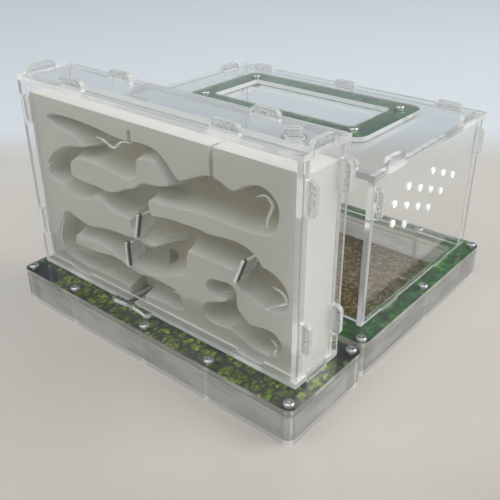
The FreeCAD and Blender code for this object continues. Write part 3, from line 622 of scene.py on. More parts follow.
@dataclass(frozen=True)
class TableFinish:
    """Pale smooth table and the wall behind it, with painted light and shade on both."""

    name: str = "table_top"
    near: tuple[float, float, float, float] = (0.37, 0.31, 0.275, 1.0)
    middle: tuple[float, float, float, float] = (0.76, 0.70, 0.62, 1.0)
    high: tuple[float, float, float, float] = (0.28, 0.31, 0.34, 1.0)
    far: tuple[float, float, float, float] = (0.90, 0.96, 1.0, 1.0)
    edge: float = 0.2
    painted_glow: float = 0.06

    def build(self) -> bpy.types.Material:
        """Make the material, paler away from the camera's side and dim high on the wall: painted
        light and painted shade, plus a faint emission that is painted light.
        """
        material, graph, shader = new_material(self.name)
        depth = graph.math("MULTIPLY_ADD", graph.axis("X"), -0.643,
                           graph.math("MULTIPLY", graph.axis("Y"), 0.766))
        away = graph.ramp(depth, self.edge, self.edge + 0.12)
        cloud = graph.math("MULTIPLY", graph.noise(graph.place(), 9.0, 4.0), 0.25)
        here = graph.mix(graph.ramp(depth, -0.42, 0.02), self.near, self.middle)
        colour = graph.mix(graph.math("ADD", away, cloud, clamp=True), here, self.far)
        colour = graph.mix(graph.ramp(graph.axis("Z"), 0.6, 1.3), colour, self.high)
        graph.feed(shader.inputs["Base Color"], colour)
        # The table emits faintly: painted light, though it is no lamp.
        graph.feed(shader.inputs["Emission Color"], colour)
        shader.inputs["Emission Strength"].default_value = self.painted_glow
        shader.inputs["Roughness"].default_value = 0.24
        shader.inputs["Specular IOR Level"].default_value = 0.35
        return material


def mesh_object(name: str, points: np.ndarray, faces: list, material: bpy.types.Material,
                smooth: bool = True) -> bpy.types.Object:
    """Make an object from points in millimetres and faces.

    Args:
        name: the piece's name.
        points: an (n, 3) array in millimetres.
        faces: corner numbers of each face, all pointing outwards.
        material: its finish.
        smooth: whether its faces are shaded smooth.

    Returns:
        The new object, at the origin.
    """
    mesh = bpy.data.meshes.new(name)
    mesh.from_pydata((np.asarray(points, float) * MM).tolist(), [], [list(f) for f in faces])
    mesh.polygons.foreach_set("use_smooth", np.full(len(mesh.polygons), smooth))
    mesh.materials.append(material)
    mesh.update()
    piece = bpy.data.objects.new(name, mesh)
    bpy.context.scene.collection.objects.link(piece)
    return piece


def grid_faces(rows: int, columns: int, closed: bool = False, flip: bool = False) -> np.ndarray:
    """Corner numbers of the quads between neighbouring rows and columns of a grid.

    Args:
        rows: rows of points.
        columns: points in a row.
        closed: whether the last column joins the first.
        flip: whether to turn the faces round.

    Returns:
        An (n, 4) array of corner numbers.
    """
    last = columns if closed else columns - 1
    row, column = np.meshgrid(np.arange(rows - 1), np.arange(last), indexing="ij")
    right = (column + 1) % columns
    quads = np.stack([row * columns + column, row * columns + right,
                      (row + 1) * columns + right, (row + 1) * columns + column], axis=-1)
    quads = quads.reshape(-1, 4)
    return quads[:, ::-1] if flip else quads


def face_facts(mesh: bpy.types.Mesh) -> tuple[np.ndarray, np.ndarray, np.ndarray]:
    """Normal, middle in millimetres and finish number of every face.

    Args:
        mesh: the mesh to read.

    Returns:
        Two (n, 3) arrays and one of n whole numbers.
    """
    count = len(mesh.polygons)
    normals, middles = np.empty(count * 3), np.empty(count * 3)
    index = np.empty(count, np.int32)
    mesh.polygons.foreach_get("normal", normals)
    mesh.polygons.foreach_get("center", middles)
    mesh.polygons.foreach_get("material_index", index)
    return normals.reshape(-1, 3), middles.reshape(-1, 3) / MM, index


def box_mm(node: str) -> tuple[np.ndarray, np.ndarray]:
    """Lowest and highest corner of a CAD node in millimetres."""
    low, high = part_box(node)
    return np.array(low) / MM, np.array(high) / MM


def refined_copy(node: str, name: str, material: bpy.types.Material, axis: int | None,
                 inset: float = 0.02, bevel: float = 0.18,
                 edge: bpy.types.Material | None = None) -> bpy.types.Object:
    """Copy a CAD node's mesh, draw its broad faces in a hair and bevel its edges.

    Args:
        node: the CAD node to stand for.
        name: the new piece's name.
        material: its finish.
        axis: the thin axis, or None for a piece with no broad faces.
        inset: how far each broad face is drawn in, in millimetres.
        bevel: width of the bevel in millimetres.
        edge: the finish of the faces that look along the sheet.

    Returns:
        The new object.
    """
    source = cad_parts[node]
    work = bmesh.new()
    work.from_mesh(source.data)
    bmesh.ops.remove_doubles(work, verts=work.verts, dist=2e-6)
    bmesh.ops.dissolve_limit(work, angle_limit=math.radians(0.5), verts=work.verts,
                             edges=work.edges)
    mesh = bpy.data.meshes.new(name)
    work.to_mesh(mesh)
    work.free()
    mesh.materials.clear()
    mesh.materials.append(material)
    if axis is not None:
        points = np.empty(len(mesh.vertices) * 3)
        mesh.vertices.foreach_get("co", points)
        points = points.reshape(-1, 3)
        middle = 0.5 * (points[:, axis].min() + points[:, axis].max())
        points[:, axis] -= np.sign(points[:, axis] - middle) * inset * MM
        mesh.vertices.foreach_set("co", points.ravel())
    mesh.polygons.foreach_set("use_smooth", np.zeros(len(mesh.polygons), bool))
    mesh.update()
    if edge is not None and axis is not None:
        mesh.materials.append(edge)
        normals = np.empty(len(mesh.polygons) * 3)
        mesh.polygons.foreach_get("normal", normals)
        across = np.abs(normals.reshape(-1, 3)[:, axis]) < 0.7
        mesh.polygons.foreach_set("material_index", across.astype(np.int32))
    piece = bpy.data.objects.new(name, mesh)
    bpy.context.scene.collection.objects.link(piece)
    if bevel:
        rounding = piece.modifiers.new("bevel", "BEVEL")
        rounding.width = bevel * MM
        rounding.segments = 2
        rounding.limit_method = "ANGLE"
        rounding.angle_limit = math.radians(40)
        rounding.use_clamp_overlap = True
    return piece


def widen_front_bar(piece: bpy.types.Object, reach: float, low: float = -30.0,
                    high: float = -10.0, side: float = 83.6) -> None:
    """Carry a ring's front inner edge back, so that the wall over it stands on the bar.

    Args:
        piece: the ring.
        reach: how far the edge goes back, in millimetres.
        low: the front of the band that holds the edge.
        high: the back of that band.
        side: half the band's width.
    """
    mesh = piece.data
    points = np.empty(len(mesh.vertices) * 3)
    mesh.vertices.foreach_get("co", points)
    points = points.reshape(-1, 3)
    inner = ((points[:, 1] > low * MM) & (points[:, 1] < high * MM)
             & (np.abs(points[:, 0]) < side * MM))
    points[inner, 1] += reach * MM
    mesh.vertices.foreach_set("co", points.ravel())
    mesh.update()


def settle(piece: bpy.types.Object, body: str, slot: str, *nodes: str) -> None:
    """Let a piece ride on a body and stand for CAD nodes, whose solids it hides."""
    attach(piece, body)
    if nodes:
        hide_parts(*nodes)
    LOG.info("made %s on %s", piece.name, body)


@dataclass
class ClearSheets:
    """Every clear sheet, with the finish whose broad faces suit it."""

    face: bpy.types.Material
    nest_face: bpy.types.Material
    arena_face: bpy.types.Material
    edges: dict[Broad, bpy.types.Material]
    stack_edge: bpy.types.Material
    slot_wall: bpy.types.Material
    base_face: bpy.types.Material
    floor_face: bpy.types.Material
    plate_edge: bpy.types.Material
    vent_wall_highlight: bpy.types.Material
    gate_nodes: tuple[str, ...] = GATES
    bar_reach: float = BAR_REACH
    thin_axis: dict[Broad, int] = field(
        default_factory=lambda: {Broad.X: 0, Broad.Y: 1, Broad.Z: 2})
    upright_x: tuple[str, ...] = ("nest_left_panel", "nest_right_panel", "arena_left_wall",
                                  "arena_right_wall")
    upright_y: tuple[str, ...] = ("nest_front_panel", "nest_rear_panel", "arena_front_wall",
                                  "arena_rear_wall")
    level: tuple[str, ...] = ("nest_top_plate", "nest_floor_panel", "nest_top_panel",
                              "arena_top_ring", "arena_top_panel", "nest_base_plate",
                              "arena_base_plate")
    lid_level: tuple[str, ...] = ("lid_window", "lid_frame")
    ring_layers: int = 5

    def darken_slots(self, piece: bpy.types.Object) -> None:
        """Give the gates' slots dark walls.

        A face counts when it looks along the sheet and its middle is within a gate's box.
        """
        mesh = piece.data
        mesh.materials.append(self.slot_wall)
        normals, middles, index = face_facts(mesh)
        for node in self.gate_nodes:
            low, high = box_mm(node)
            near = ((middles[:, 0] > low[0] - 1) & (middles[:, 0] < high[0] + 1)
                    & (middles[:, 2] > low[2] - 1) & (middles[:, 2] < high[2] + 1))
            index[near & (np.abs(normals[:, 1]) < 0.7)] = 2
        mesh.polygons.foreach_set("material_index", index)
        mesh.update()

    def paint_vent_highlights(self, piece: bpy.types.Object, margin: float = 10.0) -> None:
        """Give the walls of the ventilation holes an emitting finish: painted highlights.

        Args:
            piece: the wall with the holes.
            margin: how far from the wall's outline a hole's wall begins, in millimetres.
        """
        mesh = piece.data
        mesh.materials.append(self.vent_wall_highlight)
        normals, middles, index = face_facts(mesh)
        low, high = box_mm("arena_right_wall")
        inner = np.all((middles > low + margin) & (middles < high - margin), axis=1,
                       where=[False, True, True])
        index[inner & (np.abs(normals[:, 0]) < 0.7)] = 2
        mesh.polygons.foreach_set("material_index", index)
        mesh.update()

    def build(self) -> None:
        """Replace each sheet's plain solid by a bevelled copy."""
        rings = tuple(f"{side}_base_ring_{layer}" for side in ("nest", "arena")
                      for layer in range(1, self.ring_layers + 1))
        for broad, nodes in ((Broad.X, self.upright_x), (Broad.Y, self.upright_y),
                             (Broad.Z, self.level + self.lid_level + rings)):
            for node in nodes:
                body = "lid" if node in self.lid_level else HABITAT
                stacked = node in rings or node.endswith("base_plate")
                slot = "base_acrylic" if stacked else "clear_acrylic"
                edge = self.stack_edge if node in rings else self.edges[broad]
                if node in ("nest_top_plate", "arena_top_ring"):
                    edge = self.plate_edge
                face = self.base_face if stacked else self.face
                if node.endswith(("panel", "wall")):
                    face = self.nest_face if node.startswith("nest") else self.arena_face
                if node == "nest_floor_panel":
                    face = self.floor_face
                piece = refined_copy(node, node + "_sheet", face, self.thin_axis[broad],
                                     bevel=0.3 if stacked else 0.18, edge=edge)
                if node.startswith("arena_base_ring") or node == "arena_top_ring":
                    widen_front_bar(piece, self.bar_reach)
                if node == "nest_front_panel":
                    self.darken_slots(piece)
                if node == "arena_right_wall":
                    self.paint_vent_highlights(piece)
                settle(piece, body, slot, node)


@dataclass
class SmallClearPieces:
    """Gates, slide, stopper and tube."""

    gate: bpy.types.Material
    gate_end: bpy.types.Material
    moulded: bpy.types.Material
    sheet: bpy.types.Material
    edge: bpy.types.Material
    gates: tuple[str, ...] = GATES
    tube_sides: int = 72

    def build_tube(self) -> None:
        """The tube: a closed ring profile turned round its axis along Y.

        Each point is at angle a and profile place s: x and z are the axis plus radius(s) times
        cos a and sin a, and y follows the profile, so the wall and its rounded lips close.
        """
        low, high = box_mm("connecting_tube")
        outer = 0.5 * (high[0] - low[0])
        inner = 0.7 * outer
        centre = 0.5 * (low + high)
        lip = 0.25
        profile = np.array([[outer, low[1] + lip], [outer, high[1] - lip],
                            [outer - lip, high[1]], [inner + lip, high[1]],
                            [inner, high[1] - lip], [inner, low[1] + lip],
                            [inner + lip, low[1]], [outer - lip, low[1]]])
        angle = np.linspace(0, 2 * np.pi, self.tube_sides, endpoint=False)
        x = centre[0] + profile[:, None, 0] * np.cos(angle)[None]
        z = centre[2] + profile[:, None, 0] * np.sin(angle)[None]
        y = np.repeat(profile[:, 1][:, None], self.tube_sides, axis=1)
        points = np.stack([x, y, z], axis=-1).reshape(-1, 3)
        faces = grid_faces(len(profile), self.tube_sides, closed=True)
        first = np.arange(self.tube_sides)
        after = (first + 1) % self.tube_sides
        last_row = (len(profile) - 1) * self.tube_sides
        closing = np.stack([last_row + first, last_row + after, after, first], axis=-1)
        piece = mesh_object("tube_between_halves", points, np.vstack([faces, closing]).tolist(),
                            self.moulded)
        settle(piece, HABITAT, "tube_plastic", "connecting_tube")

    def build(self) -> None:
        """Replace each small piece by a bevelled copy, and turn the tube."""
        for number, node in enumerate(self.gates, 1):
            piece = refined_copy(node, node + "_clear", self.gate, 0, 0.0, 0.12, self.gate_end)
            settle(piece, f"gate_{number}", "gate_acrylic", node)
        slide = refined_copy("front_slide", "front_slide_clear", self.sheet, 2, 0.0, 0.2,
                             self.edge)
        settle(slide, "feed_slide", "clear_acrylic", "front_slide")
        plug = refined_copy("water_plug", "water_plug_clear", self.moulded, None, bevel=0.35)
        settle(plug, "plug", "plug_plastic", "water_plug")
        self.build_tube()


@dataclass
class PictureFilms:
    """The printed films, a hair thinner than their gap."""

    nest: bpy.types.Material
    arena: bpy.types.Material
    lid: bpy.types.Material
    inset: float = 0.03
    bar_reach: float = BAR_REACH

    def build(self) -> None:
        """Replace each film by a copy that doesn't touch the sheets."""
        for node, finish, body, slot in (
                ("nest_picture_film", self.nest, HABITAT, "nest_film"),
                ("arena_picture_film", self.arena, HABITAT, "arena_film"),
                ("lid_picture_film", self.lid, "lid", "lid_film")):
            piece = refined_copy(node, node + "_print", finish, 2, self.inset, 0.0)
            if node == "arena_picture_film":
                widen_front_bar(piece, self.bar_reach)
            settle(piece, body, slot, node)


@dataclass
class CarvedBlock:
    """The plaster block, its front face worked out as a height field."""

    finish: bpy.types.Material
    columns: int = 400
    rows: int = 222
    gallery_depth: float = 12.0
    shrink: float = 0.5
    steep: float = 2.3
    lift: float = 2.4
    reach: float = 6.4
    blend: float = 1.0
    gate_half: tuple[float, float] = (0.95, 6.4)
    gate_depth: float = 9.7
    gates: tuple[tuple[float, float, float], ...] = ((80.9, 46.1, 13.2), (71.0, 26.2, -1.0),
                                                      (149.4, 45.0, 22.0))
    channels: tuple[tuple[float, float, float], ...] = ((132.0, 84.0, 101.5), (78.5, 86.0, 95.5))
    channel_half: float = 1.0
    channel_depth: float = 5.0
    port: tuple[float, float, float, float] = (68.0, 80.0, -1.0, 8.0)
    tube_place: tuple[float, float] = (92.0, 27.1)
    tube_radius: float = 3.5

    def smooth_line(self, stations: tuple, steps: int = 5) -> np.ndarray:
        """Stations joined by a smooth curve.

        Each stretch is a cubic through its two stations whose slope at each is half the
        difference of the stations beside it.
        """
        given = np.array(stations, float)
        padded = np.vstack([2 * given[0] - given[1], given, 2 * given[-1] - given[-2]])
        t = np.linspace(0, 1, steps, endpoint=False)[None, :, None]
        a, b, c, d = (padded[k:len(padded) - 3 + k, None, :] for k in range(4))
        curve = 0.5 * (2 * b + (c - a) * t + (2 * a - 5 * b + 4 * c - d) * t ** 2
                       + (3 * b - a - 3 * c + d) * t ** 3)
        return np.vstack([curve.reshape(-1, 3), given[-1:]])

    def inside(self, across: np.ndarray, up: np.ndarray) -> np.ndarray:
        """How far each point lies inside the galleries, negative outside.

        For one stretch it is the half width at the nearest place of its centre line minus
        the distance to that place. Stretches join by a smooth maximum.
        """
        total = np.zeros(across.shape)
        for stations in GALLERIES:
            line = self.smooth_line(stations)
            for start, end in zip(line[:-1], line[1:]):
                run = end[:2] - start[:2]
                share = ((across - start[0]) * run[0] + (up - start[1]) * run[1]) / (run @ run)
                share = np.clip(share, 0, 1)
                gap = np.hypot(across - start[0] - share * run[0],
                               up - start[1] - share * run[1])
                depth = start[2] + share * (end[2] - start[2]) - gap
                total += np.exp(np.clip(depth, -12, 12) / self.blend * 2.0)
        return 0.5 * self.blend * np.log(total + 1e-12) - self.shrink

    def depth(self, across: np.ndarray, up: np.ndarray) -> np.ndarray:
        """Depth of the face behind the front plane.

        The galleries sink as a quarter sine wave of the way in, which counts steeply from
        the upper rim and gently from the lower one: it is the smooth minimum of the steepened
        distance inside and of the distance inside a copy that is moved up. Channels, gate
        slots, the port and the tube's bore are the deeper of themselves and that.
        """
        steep = self.steep * (self.inside(across, up) + 0.1)
        gentle = self.inside(across, up - self.lift) + self.lift + 0.2
        way = -0.6 * np.log(np.exp(-steep / 0.6) + np.exp(-gentle / 0.6))
        share = np.clip(way / self.reach, 0, 1)
        depth = self.gallery_depth * np.sin(0.5 * np.pi * share) ** 1.15
        for middle, low, high in self.channels:
            cut = (np.abs(across - middle) < self.channel_half) & (up > low) & (up < high)
            depth = np.where(cut, np.maximum(depth, self.channel_depth), depth)
        for middle, height, lean in self.gates:
            turn = math.radians(lean)
            side = (across - middle) * math.cos(turn) - (up - height) * math.sin(turn)
            along = (across - middle) * math.sin(turn) + (up - height) * math.cos(turn)
            cut = (np.abs(side) < self.gate_half[0]) & (np.abs(along) < self.gate_half[1])
            depth = np.where(cut, np.maximum(depth, self.gate_depth), depth)
        left, right, low, high = self.port
        cut = (across > left) & (across < right) & (up > low) & (up < high)
        depth = np.where(cut, np.maximum(depth, self.gallery_depth), depth)
        bore = np.hypot(across - self.tube_place[0], up - self.tube_place[1]) < self.tube_radius
        return np.where(bore, 21.4, depth)

    def ripple(self, across: np.ndarray, up: np.ndarray) -> np.ndarray:
        """Slow hand-carved unevenness: a sum of a few sine waves of unlike lengths."""
        return (0.16 * np.sin(0.31 * across + 0.9) * np.sin(0.27 * up + 0.4)
                + 0.09 * np.sin(0.83 * across - 0.5 * up) + 0.06 * np.sin(1.37 * up + 0.6 * across))

    def build(self) -> None:
        """Close the height field with side walls and a back."""
        low, high = box_mm("plaster_block")
        across, up = np.meshgrid(np.linspace(0, high[0] - low[0], self.columns),
                                 np.linspace(0, high[2] - low[2], self.rows))
        depth = self.depth(across, up)
        carved = np.clip(depth / self.gallery_depth, 0, 1)
        depth = np.clip(depth + carved * self.ripple(across, up), 0, 21.4)
        front = np.stack([low[0] + across, low[1] + depth, low[2] + up], axis=-1)
        points, faces = close_field(front, 1, high[1])
        piece = mesh_object("plaster_block_carved", points, faces, self.finish)
        # The carved share rides on the points; the plaster finish paints shade into the galleries
        # with it.
        recess_shade = np.concatenate([carved.ravel(), np.zeros(len(points) - carved.size)])
        layer = piece.data.attributes.new("carved", "FLOAT", "POINT")
        layer.data.foreach_set("value", recess_shade.astype(np.float32))
        bevel_shade(piece)
        settle(piece, HABITAT, "plaster", "plaster_block")


def close_field(front: np.ndarray, axis: int, far: float) -> tuple[np.ndarray, list]:
    """Close a height field with side walls and a flat far side.

    The rim of the grid is walked once round, copied to the far plane and joined to it by quads.

    Args:
        front: a (rows, columns, 3) grid of points.
        axis: the axis that the far plane is square to.
        far: where the far plane lies on that axis.

    Returns:
        All points, the grid's first, and all faces.
    """
    rows, columns = front.shape[:2]
    index = np.arange(rows * columns).reshape(rows, columns)
    loop = np.concatenate([index[0, :-1], index[:-1, -1], index[-1, :0:-1], index[:0:-1, 0]])
    points = front.reshape(-1, 3)
    rim = points[loop].copy()
    rim[:, axis] = far
    beyond = rows * columns + np.arange(len(loop))
    after = np.roll(np.arange(len(loop)), -1)
    walls = np.stack([loop, beyond, beyond[after], loop[after]], axis=-1)
    faces = grid_faces(rows, columns).tolist() + walls.tolist()
    faces.append(beyond[::-1].tolist())
    return np.vstack([points, rim]), faces


def bevel_shade(piece: bpy.types.Object) -> None:
    """Keep hard corners crisp on a piece that is otherwise shaded smooth."""
    with bpy.context.temp_override(object=piece, active_object=piece,
                                   selected_editable_objects=[piece]):
        bpy.ops.object.shade_smooth_by_angle(angle=math.radians(50))


@dataclass
class SandBed:
    """Loose sand with a gently uneven top."""

    finish: bpy.types.Material
    step: float = 0.7
    swing: float = 0.55
    bar_reach: float = BAR_REACH

    def build(self) -> None:
        """Make the bed.

        The top is a sum of sine waves of unlike lengths and directions plus seeded fine
        grains, all below the CAD slab's top.
        """
        low, high = box_mm("sand_bed")
        low[1] += self.bar_reach
        columns = int((high[0] - low[0]) / self.step)
        rows = int((high[1] - low[1]) / self.step)
        x, y = np.meshgrid(np.linspace(low[0], high[0], columns),
                           np.linspace(low[1], high[1], rows))
        waves = (np.sin(0.07 * x + 0.05 * y) + 0.6 * np.sin(0.16 * x - 0.11 * y + 1.0)
                 + 0.4 * np.sin(0.31 * y + 0.13 * x + 2.0) + 0.3 * np.sin(0.57 * x - 0.4 * y))
        grains = np.random.default_rng(7).random(x.shape)
        top = high[2] - self.swing * (0.5 + waves / 4.8) - 0.22 * grains
        top = np.minimum(top, high[2])
        points, faces = close_field(np.stack([x, y, top], axis=-1), 2, low[2] + 0.02)
        piece = mesh_object("arena_sand_bed", points, faces, self.finish)
        settle(piece, HABITAT, "sand", "sand_bed")


@dataclass
class CapScrews:
    """Domed cap screws with a hexagon socket and a cut thread."""

    finish: bpy.types.Material
    head_radius: float = 2.85
    head_height: float = 1.65
    socket: float = 1.0
    socket_depth: float = 1.0
    shank: float = 1.49
    root: float = 1.22
    pitch: float = 0.5
    rows_per_pitch: int = 3
    sides: int = 20

    def one(self, length: float) -> tuple[np.ndarray, list]:
        """One screw about the Z axis, head seat at zero.

        Rows of a grid run from the socket's centre over the dome and down the thread to the
        tip. A row's radius is its own, or on the socket the hexagon's: half the flats over
        the cosine of the angle from the nearest flat. The thread's radius is a triangle
        wave of height plus turn.
        """
        angle = np.linspace(0, 2 * np.pi, self.sides, endpoint=False)
        nearest = (angle + np.pi / 6) % (np.pi / 3) - np.pi / 6
        hexagon = self.socket / np.cos(nearest)
        ring = np.ones(self.sides)
        floor = self.head_height - self.socket_depth
        rows = [(0.02 * ring, floor - 0.1), (0.98 * hexagon, floor),
                (hexagon, self.head_height - 0.08), (hexagon + 0.08, self.head_height)]
        for share in np.linspace(0, 1, 7):
            turn = share * 0.5 * np.pi
            radius = 1.5 + (self.head_radius - 1.5) * math.sin(turn)
            rows.append((radius * ring, 0.25 + (self.head_height - 0.25) * math.cos(turn)))
        rows.append((self.head_radius * ring, 0.05))
        rows.append(((self.head_radius - 0.06) * ring, 0.0))
        rows.append((self.shank * ring, 0.0))
        count = int((length - 0.6) / self.pitch * self.rows_per_pitch)
        heights = -0.15 - np.arange(count) * self.pitch / self.rows_per_pitch
        phase = (heights[:, None] / self.pitch + angle[None] / (2 * np.pi)) % 1.0
        thread = self.root + (self.shank - self.root) * np.abs(2 * phase - 1)
        rows += list(zip(thread, heights))
        rows.append(((self.root - 0.1) * ring, -length + 0.1))
        rows.append((0.9 * ring, -length))
        rows.append((0.02 * ring, -length))
        radius = np.array([row[0] for row in rows])
        height = np.array([row[1] for row in rows])
        points = np.stack([radius * np.cos(angle), radius * np.sin(angle),
                           np.repeat(height[:, None], self.sides, axis=1)], axis=-1)
        faces = grid_faces(len(rows), self.sides, closed=True, flip=True).tolist()
        last = (len(rows) - 1) * self.sides
        faces.append(list(range(self.sides)))
        faces.append([last + k for k in range(self.sides)][::-1])
        return points.reshape(-1, 3), faces

    def build(self, node: str, name: str, body: str, places: list, seat: float,
              length: float) -> None:
        """Copy one screw to every place, each turned a little differently."""
        points, faces = self.one(length)
        everything, corners = [], []
        for number, (x, y) in enumerate(places):
            turn = 0.7 * number
            spin = np.array([[math.cos(turn), -math.sin(turn), 0],
                             [math.sin(turn), math.cos(turn), 0], [0, 0, 1]])
            everything.append(points @ spin.T + (x, y, seat))
            corners += [[c + number * len(points) for c in face] for face in faces]
        piece = mesh_object(name, np.vstack(everything), corners, self.finish)
        bevel_shade(piece)
        settle(piece, body, "steel", node)


@dataclass
class Fasteners:
    """Where the screws stand, read from their CAD nodes."""

    finish: bpy.types.Material
    apart: float = 4.0
    reach: float = 7.0

    def places(self, node: str) -> list:
        """Find the middles of the separate screws of a group.

        Every seventh point starts a new screw unless one already stands within `apart` of it.
        A screw's middle is that of the box round all points within `reach` of its start.

        Args:
            node: the CAD node with the screws.

        Returns:
            One (x, y) pair in millimetres for each screw.
        """
        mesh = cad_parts[node].data
        points = np.empty(len(mesh.vertices) * 3)
        mesh.vertices.foreach_get("co", points)
        points = points.reshape(-1, 3) / MM
        starts: list = []
        for x, y in points[:, :2][::7]:
            if all(math.hypot(left - x, near - y) >= self.apart for left, near in starts):
                starts.append((x, y))
        middles = []
        for x, y in starts:
            own = points[np.hypot(points[:, 0] - x, points[:, 1] - y) < self.reach]
            middles.append(tuple(0.5 * (own[:, :2].min(0) + own[:, :2].max(0))))
        return middles

    def build(self) -> None:
        """Screws of both bases and the lid, and the lid's nuts."""
        screws = CapScrews(self.finish)
        for node, name, body in (("nest_screws", "nest_cap_screws", HABITAT),
                                 ("arena_screws", "arena_cap_screws", HABITAT),
                                 ("lid_screws", "lid_cap_screws", "lid")):
            low, high = box_mm(node)
            seat = high[2] - screws.head_height
            screws.build(node, name, body, self.places(node), seat, seat - low[2])
        nuts = refined_copy("lid_nuts", "lid_hex_nuts", self.finish, None, bevel=0.2)
        settle(nuts, "lid", "steel", "lid_nuts")


@dataclass
class GlintRidges:
    """Thin milky ridges at gallery ends that stand in for bright glints: painted highlights."""

    finish: bpy.types.Material
    radius: float = 0.9
    sides: int = 10
    steps: int = 8

    def build(self) -> None:
        """Carry a round profile along each run, thinner towards its ends.

        The centre line is the cubic through the run's points, the radius follows half a sine
        wave along it, and each ring stands square to the line in the plane of the glass.
        """
        low, _ = box_mm("plaster_block")
        block = CarvedBlock(self.finish)
        everything, faces, start = [], [], 0
        angle = np.linspace(0, 2 * np.pi, self.sides, endpoint=False)
        for run in GLINT_RUNS:
            stations = tuple((a, u, 1.0) for a, u in run)
            line = block.smooth_line(stations, self.steps)[:, :2]
            along = np.gradient(line, axis=0)
            along /= np.linalg.norm(along, axis=1, keepdims=True)
            side = np.stack([-along[:, 1], along[:, 0]], axis=-1)
            share = np.linspace(0, 1, len(line))
            radius = self.radius * (0.25 + 0.75 * np.sin(np.pi * share))
            x = low[0] + line[:, None, 0] + radius[:, None] * np.cos(angle) * side[:, None, 0]
            z = low[2] + line[:, None, 1] + radius[:, None] * np.cos(angle) * side[:, None, 1]
            y = low[1] + self.radius + radius[:, None] * np.sin(angle) + 0 * x
            points = np.stack([x, y, z], axis=-1).reshape(-1, 3)
            quads = grid_faces(len(line), self.sides, closed=True) + start
            faces += quads.tolist()
            faces.append([start + k for k in range(self.sides)][::-1])
            last = start + (len(line) - 1) * self.sides
            faces.append([last + k for k in range(self.sides)])
            everything.append(points)
            start += len(points)
        piece = mesh_object("gallery_glint_ridges", np.vstack(everything), faces, self.finish)
        settle(piece, HABITAT, "plug_plastic")


@dataclass
class Studio:
    """Table, soft lamps and the camera."""

    camera_place: tuple[float, float, float] = (0.23498, -0.28795, 0.22941)
    azimuth: float = -40.03
    elevation: float = 28.85
    roll: float = -0.22
    lens: float = 49.996

    def build_camera(self) -> None:
        """Stand the camera where the photographer's was."""
        turn, tilt, lean = (math.radians(v) for v in (self.azimuth, self.elevation, self.roll))
        forward = Vector((math.cos(tilt) * math.sin(turn), math.cos(tilt) * math.cos(turn),
                          -math.sin(tilt)))
        right = Vector((math.cos(turn), -math.sin(turn), 0.0))
        up = right.cross(forward)
        across = math.cos(lean) * right + math.sin(lean) * up
        upward = -math.sin(lean) * right + math.cos(lean) * up
        data = bpy.data.cameras.new("camera")
        data.lens = self.lens
        data.sensor_width = 36.0
        data.clip_start = 0.01
        camera = bpy.data.objects.new("camera", data)
        axes = Matrix((across, upward, -forward)).transposed().to_4x4()
        camera.matrix_world = Matrix.Translation(self.camera_place) @ axes
        bpy.context.scene.collection.objects.link(camera)
        bpy.context.scene.camera = camera

    def build_lamp(self, name: str, place: tuple[float, float, float], size: float,
                   power: float, colour: tuple[float, float, float]) -> None:
        """Add one soft square lamp that looks at the object."""
        data = bpy.data.lights.new(name, "AREA")
        data.size = size
        data.energy = power
        data.color = colour
        lamp = bpy.data.objects.new(name, data)
        aim = Vector((0.0, 0.0, 0.05)) - Vector(place)
        lamp.matrix_world = (Matrix.Translation(place)
                             @ aim.to_track_quat("-Z", "Y").to_matrix().to_4x4())
        bpy.context.scene.collection.objects.link(lamp)

    def build_table(self, finish: bpy.types.Material) -> None:
        """A wide sheet that is level near the object and rises smoothly into a wall.

        Height is zero out to a bend radius, then follows a quarter circle, then straight up.
        """
        reach, bend, steps = 6000.0, 900.0, 24
        start = 1700.0
        turn = np.linspace(0, 0.5 * np.pi, steps)
        along = np.concatenate([[-reach], start + bend * np.sin(turn), [start + bend]])
        height = np.concatenate([[0.0], bend * (1 - np.cos(turn)), [3200.0]])
        across = np.array([-reach, reach])
        direction = np.array([math.sin(math.radians(self.azimuth)),
                              math.cos(math.radians(self.azimuth))])
        sideways = np.array([direction[1], -direction[0]])
        x = along[:, None] * direction[0] + across[None] * sideways[0]
        y = along[:, None] * direction[1] + across[None] * sideways[1]
        z = np.repeat(height[:, None], 2, axis=1)
        points = np.stack([x, y, z], axis=-1).reshape(-1, 3)
        table = mesh_object("table", points, grid_faces(len(along), 2, flip=True).tolist(), finish)

    def build(self, finish: bpy.types.Material) -> None:
        """Set the stage."""
        self.build_table(finish)
        self.build_camera()
        self.build_lamp("window", (1.15, 0.75, 1.15), 1.1, 12.0, (1.0, 0.985, 0.96))
        self.build_lamp("ceiling", (0.1, -0.45, 1.5), 0.7, 3.0, (1.0, 0.99, 0.97))
        self.build_lamp("doorway", (-0.5, -0.85, 1.1), 0.9, 2.6, (1.0, 0.99, 0.97))
        world = bpy.data.worlds.new("room")
        world.use_nodes = True
        back = world.node_tree.nodes["Background"]
        back.inputs["Color"].default_value = (0.80, 0.84, 0.88, 1.0)
        back.inputs["Strength"].default_value = 0.52
        bpy.context.scene.world = world
        bpy.context.scene.view_settings.view_transform = "Standard"
        LOG.info("made the table, the lamps and the camera")


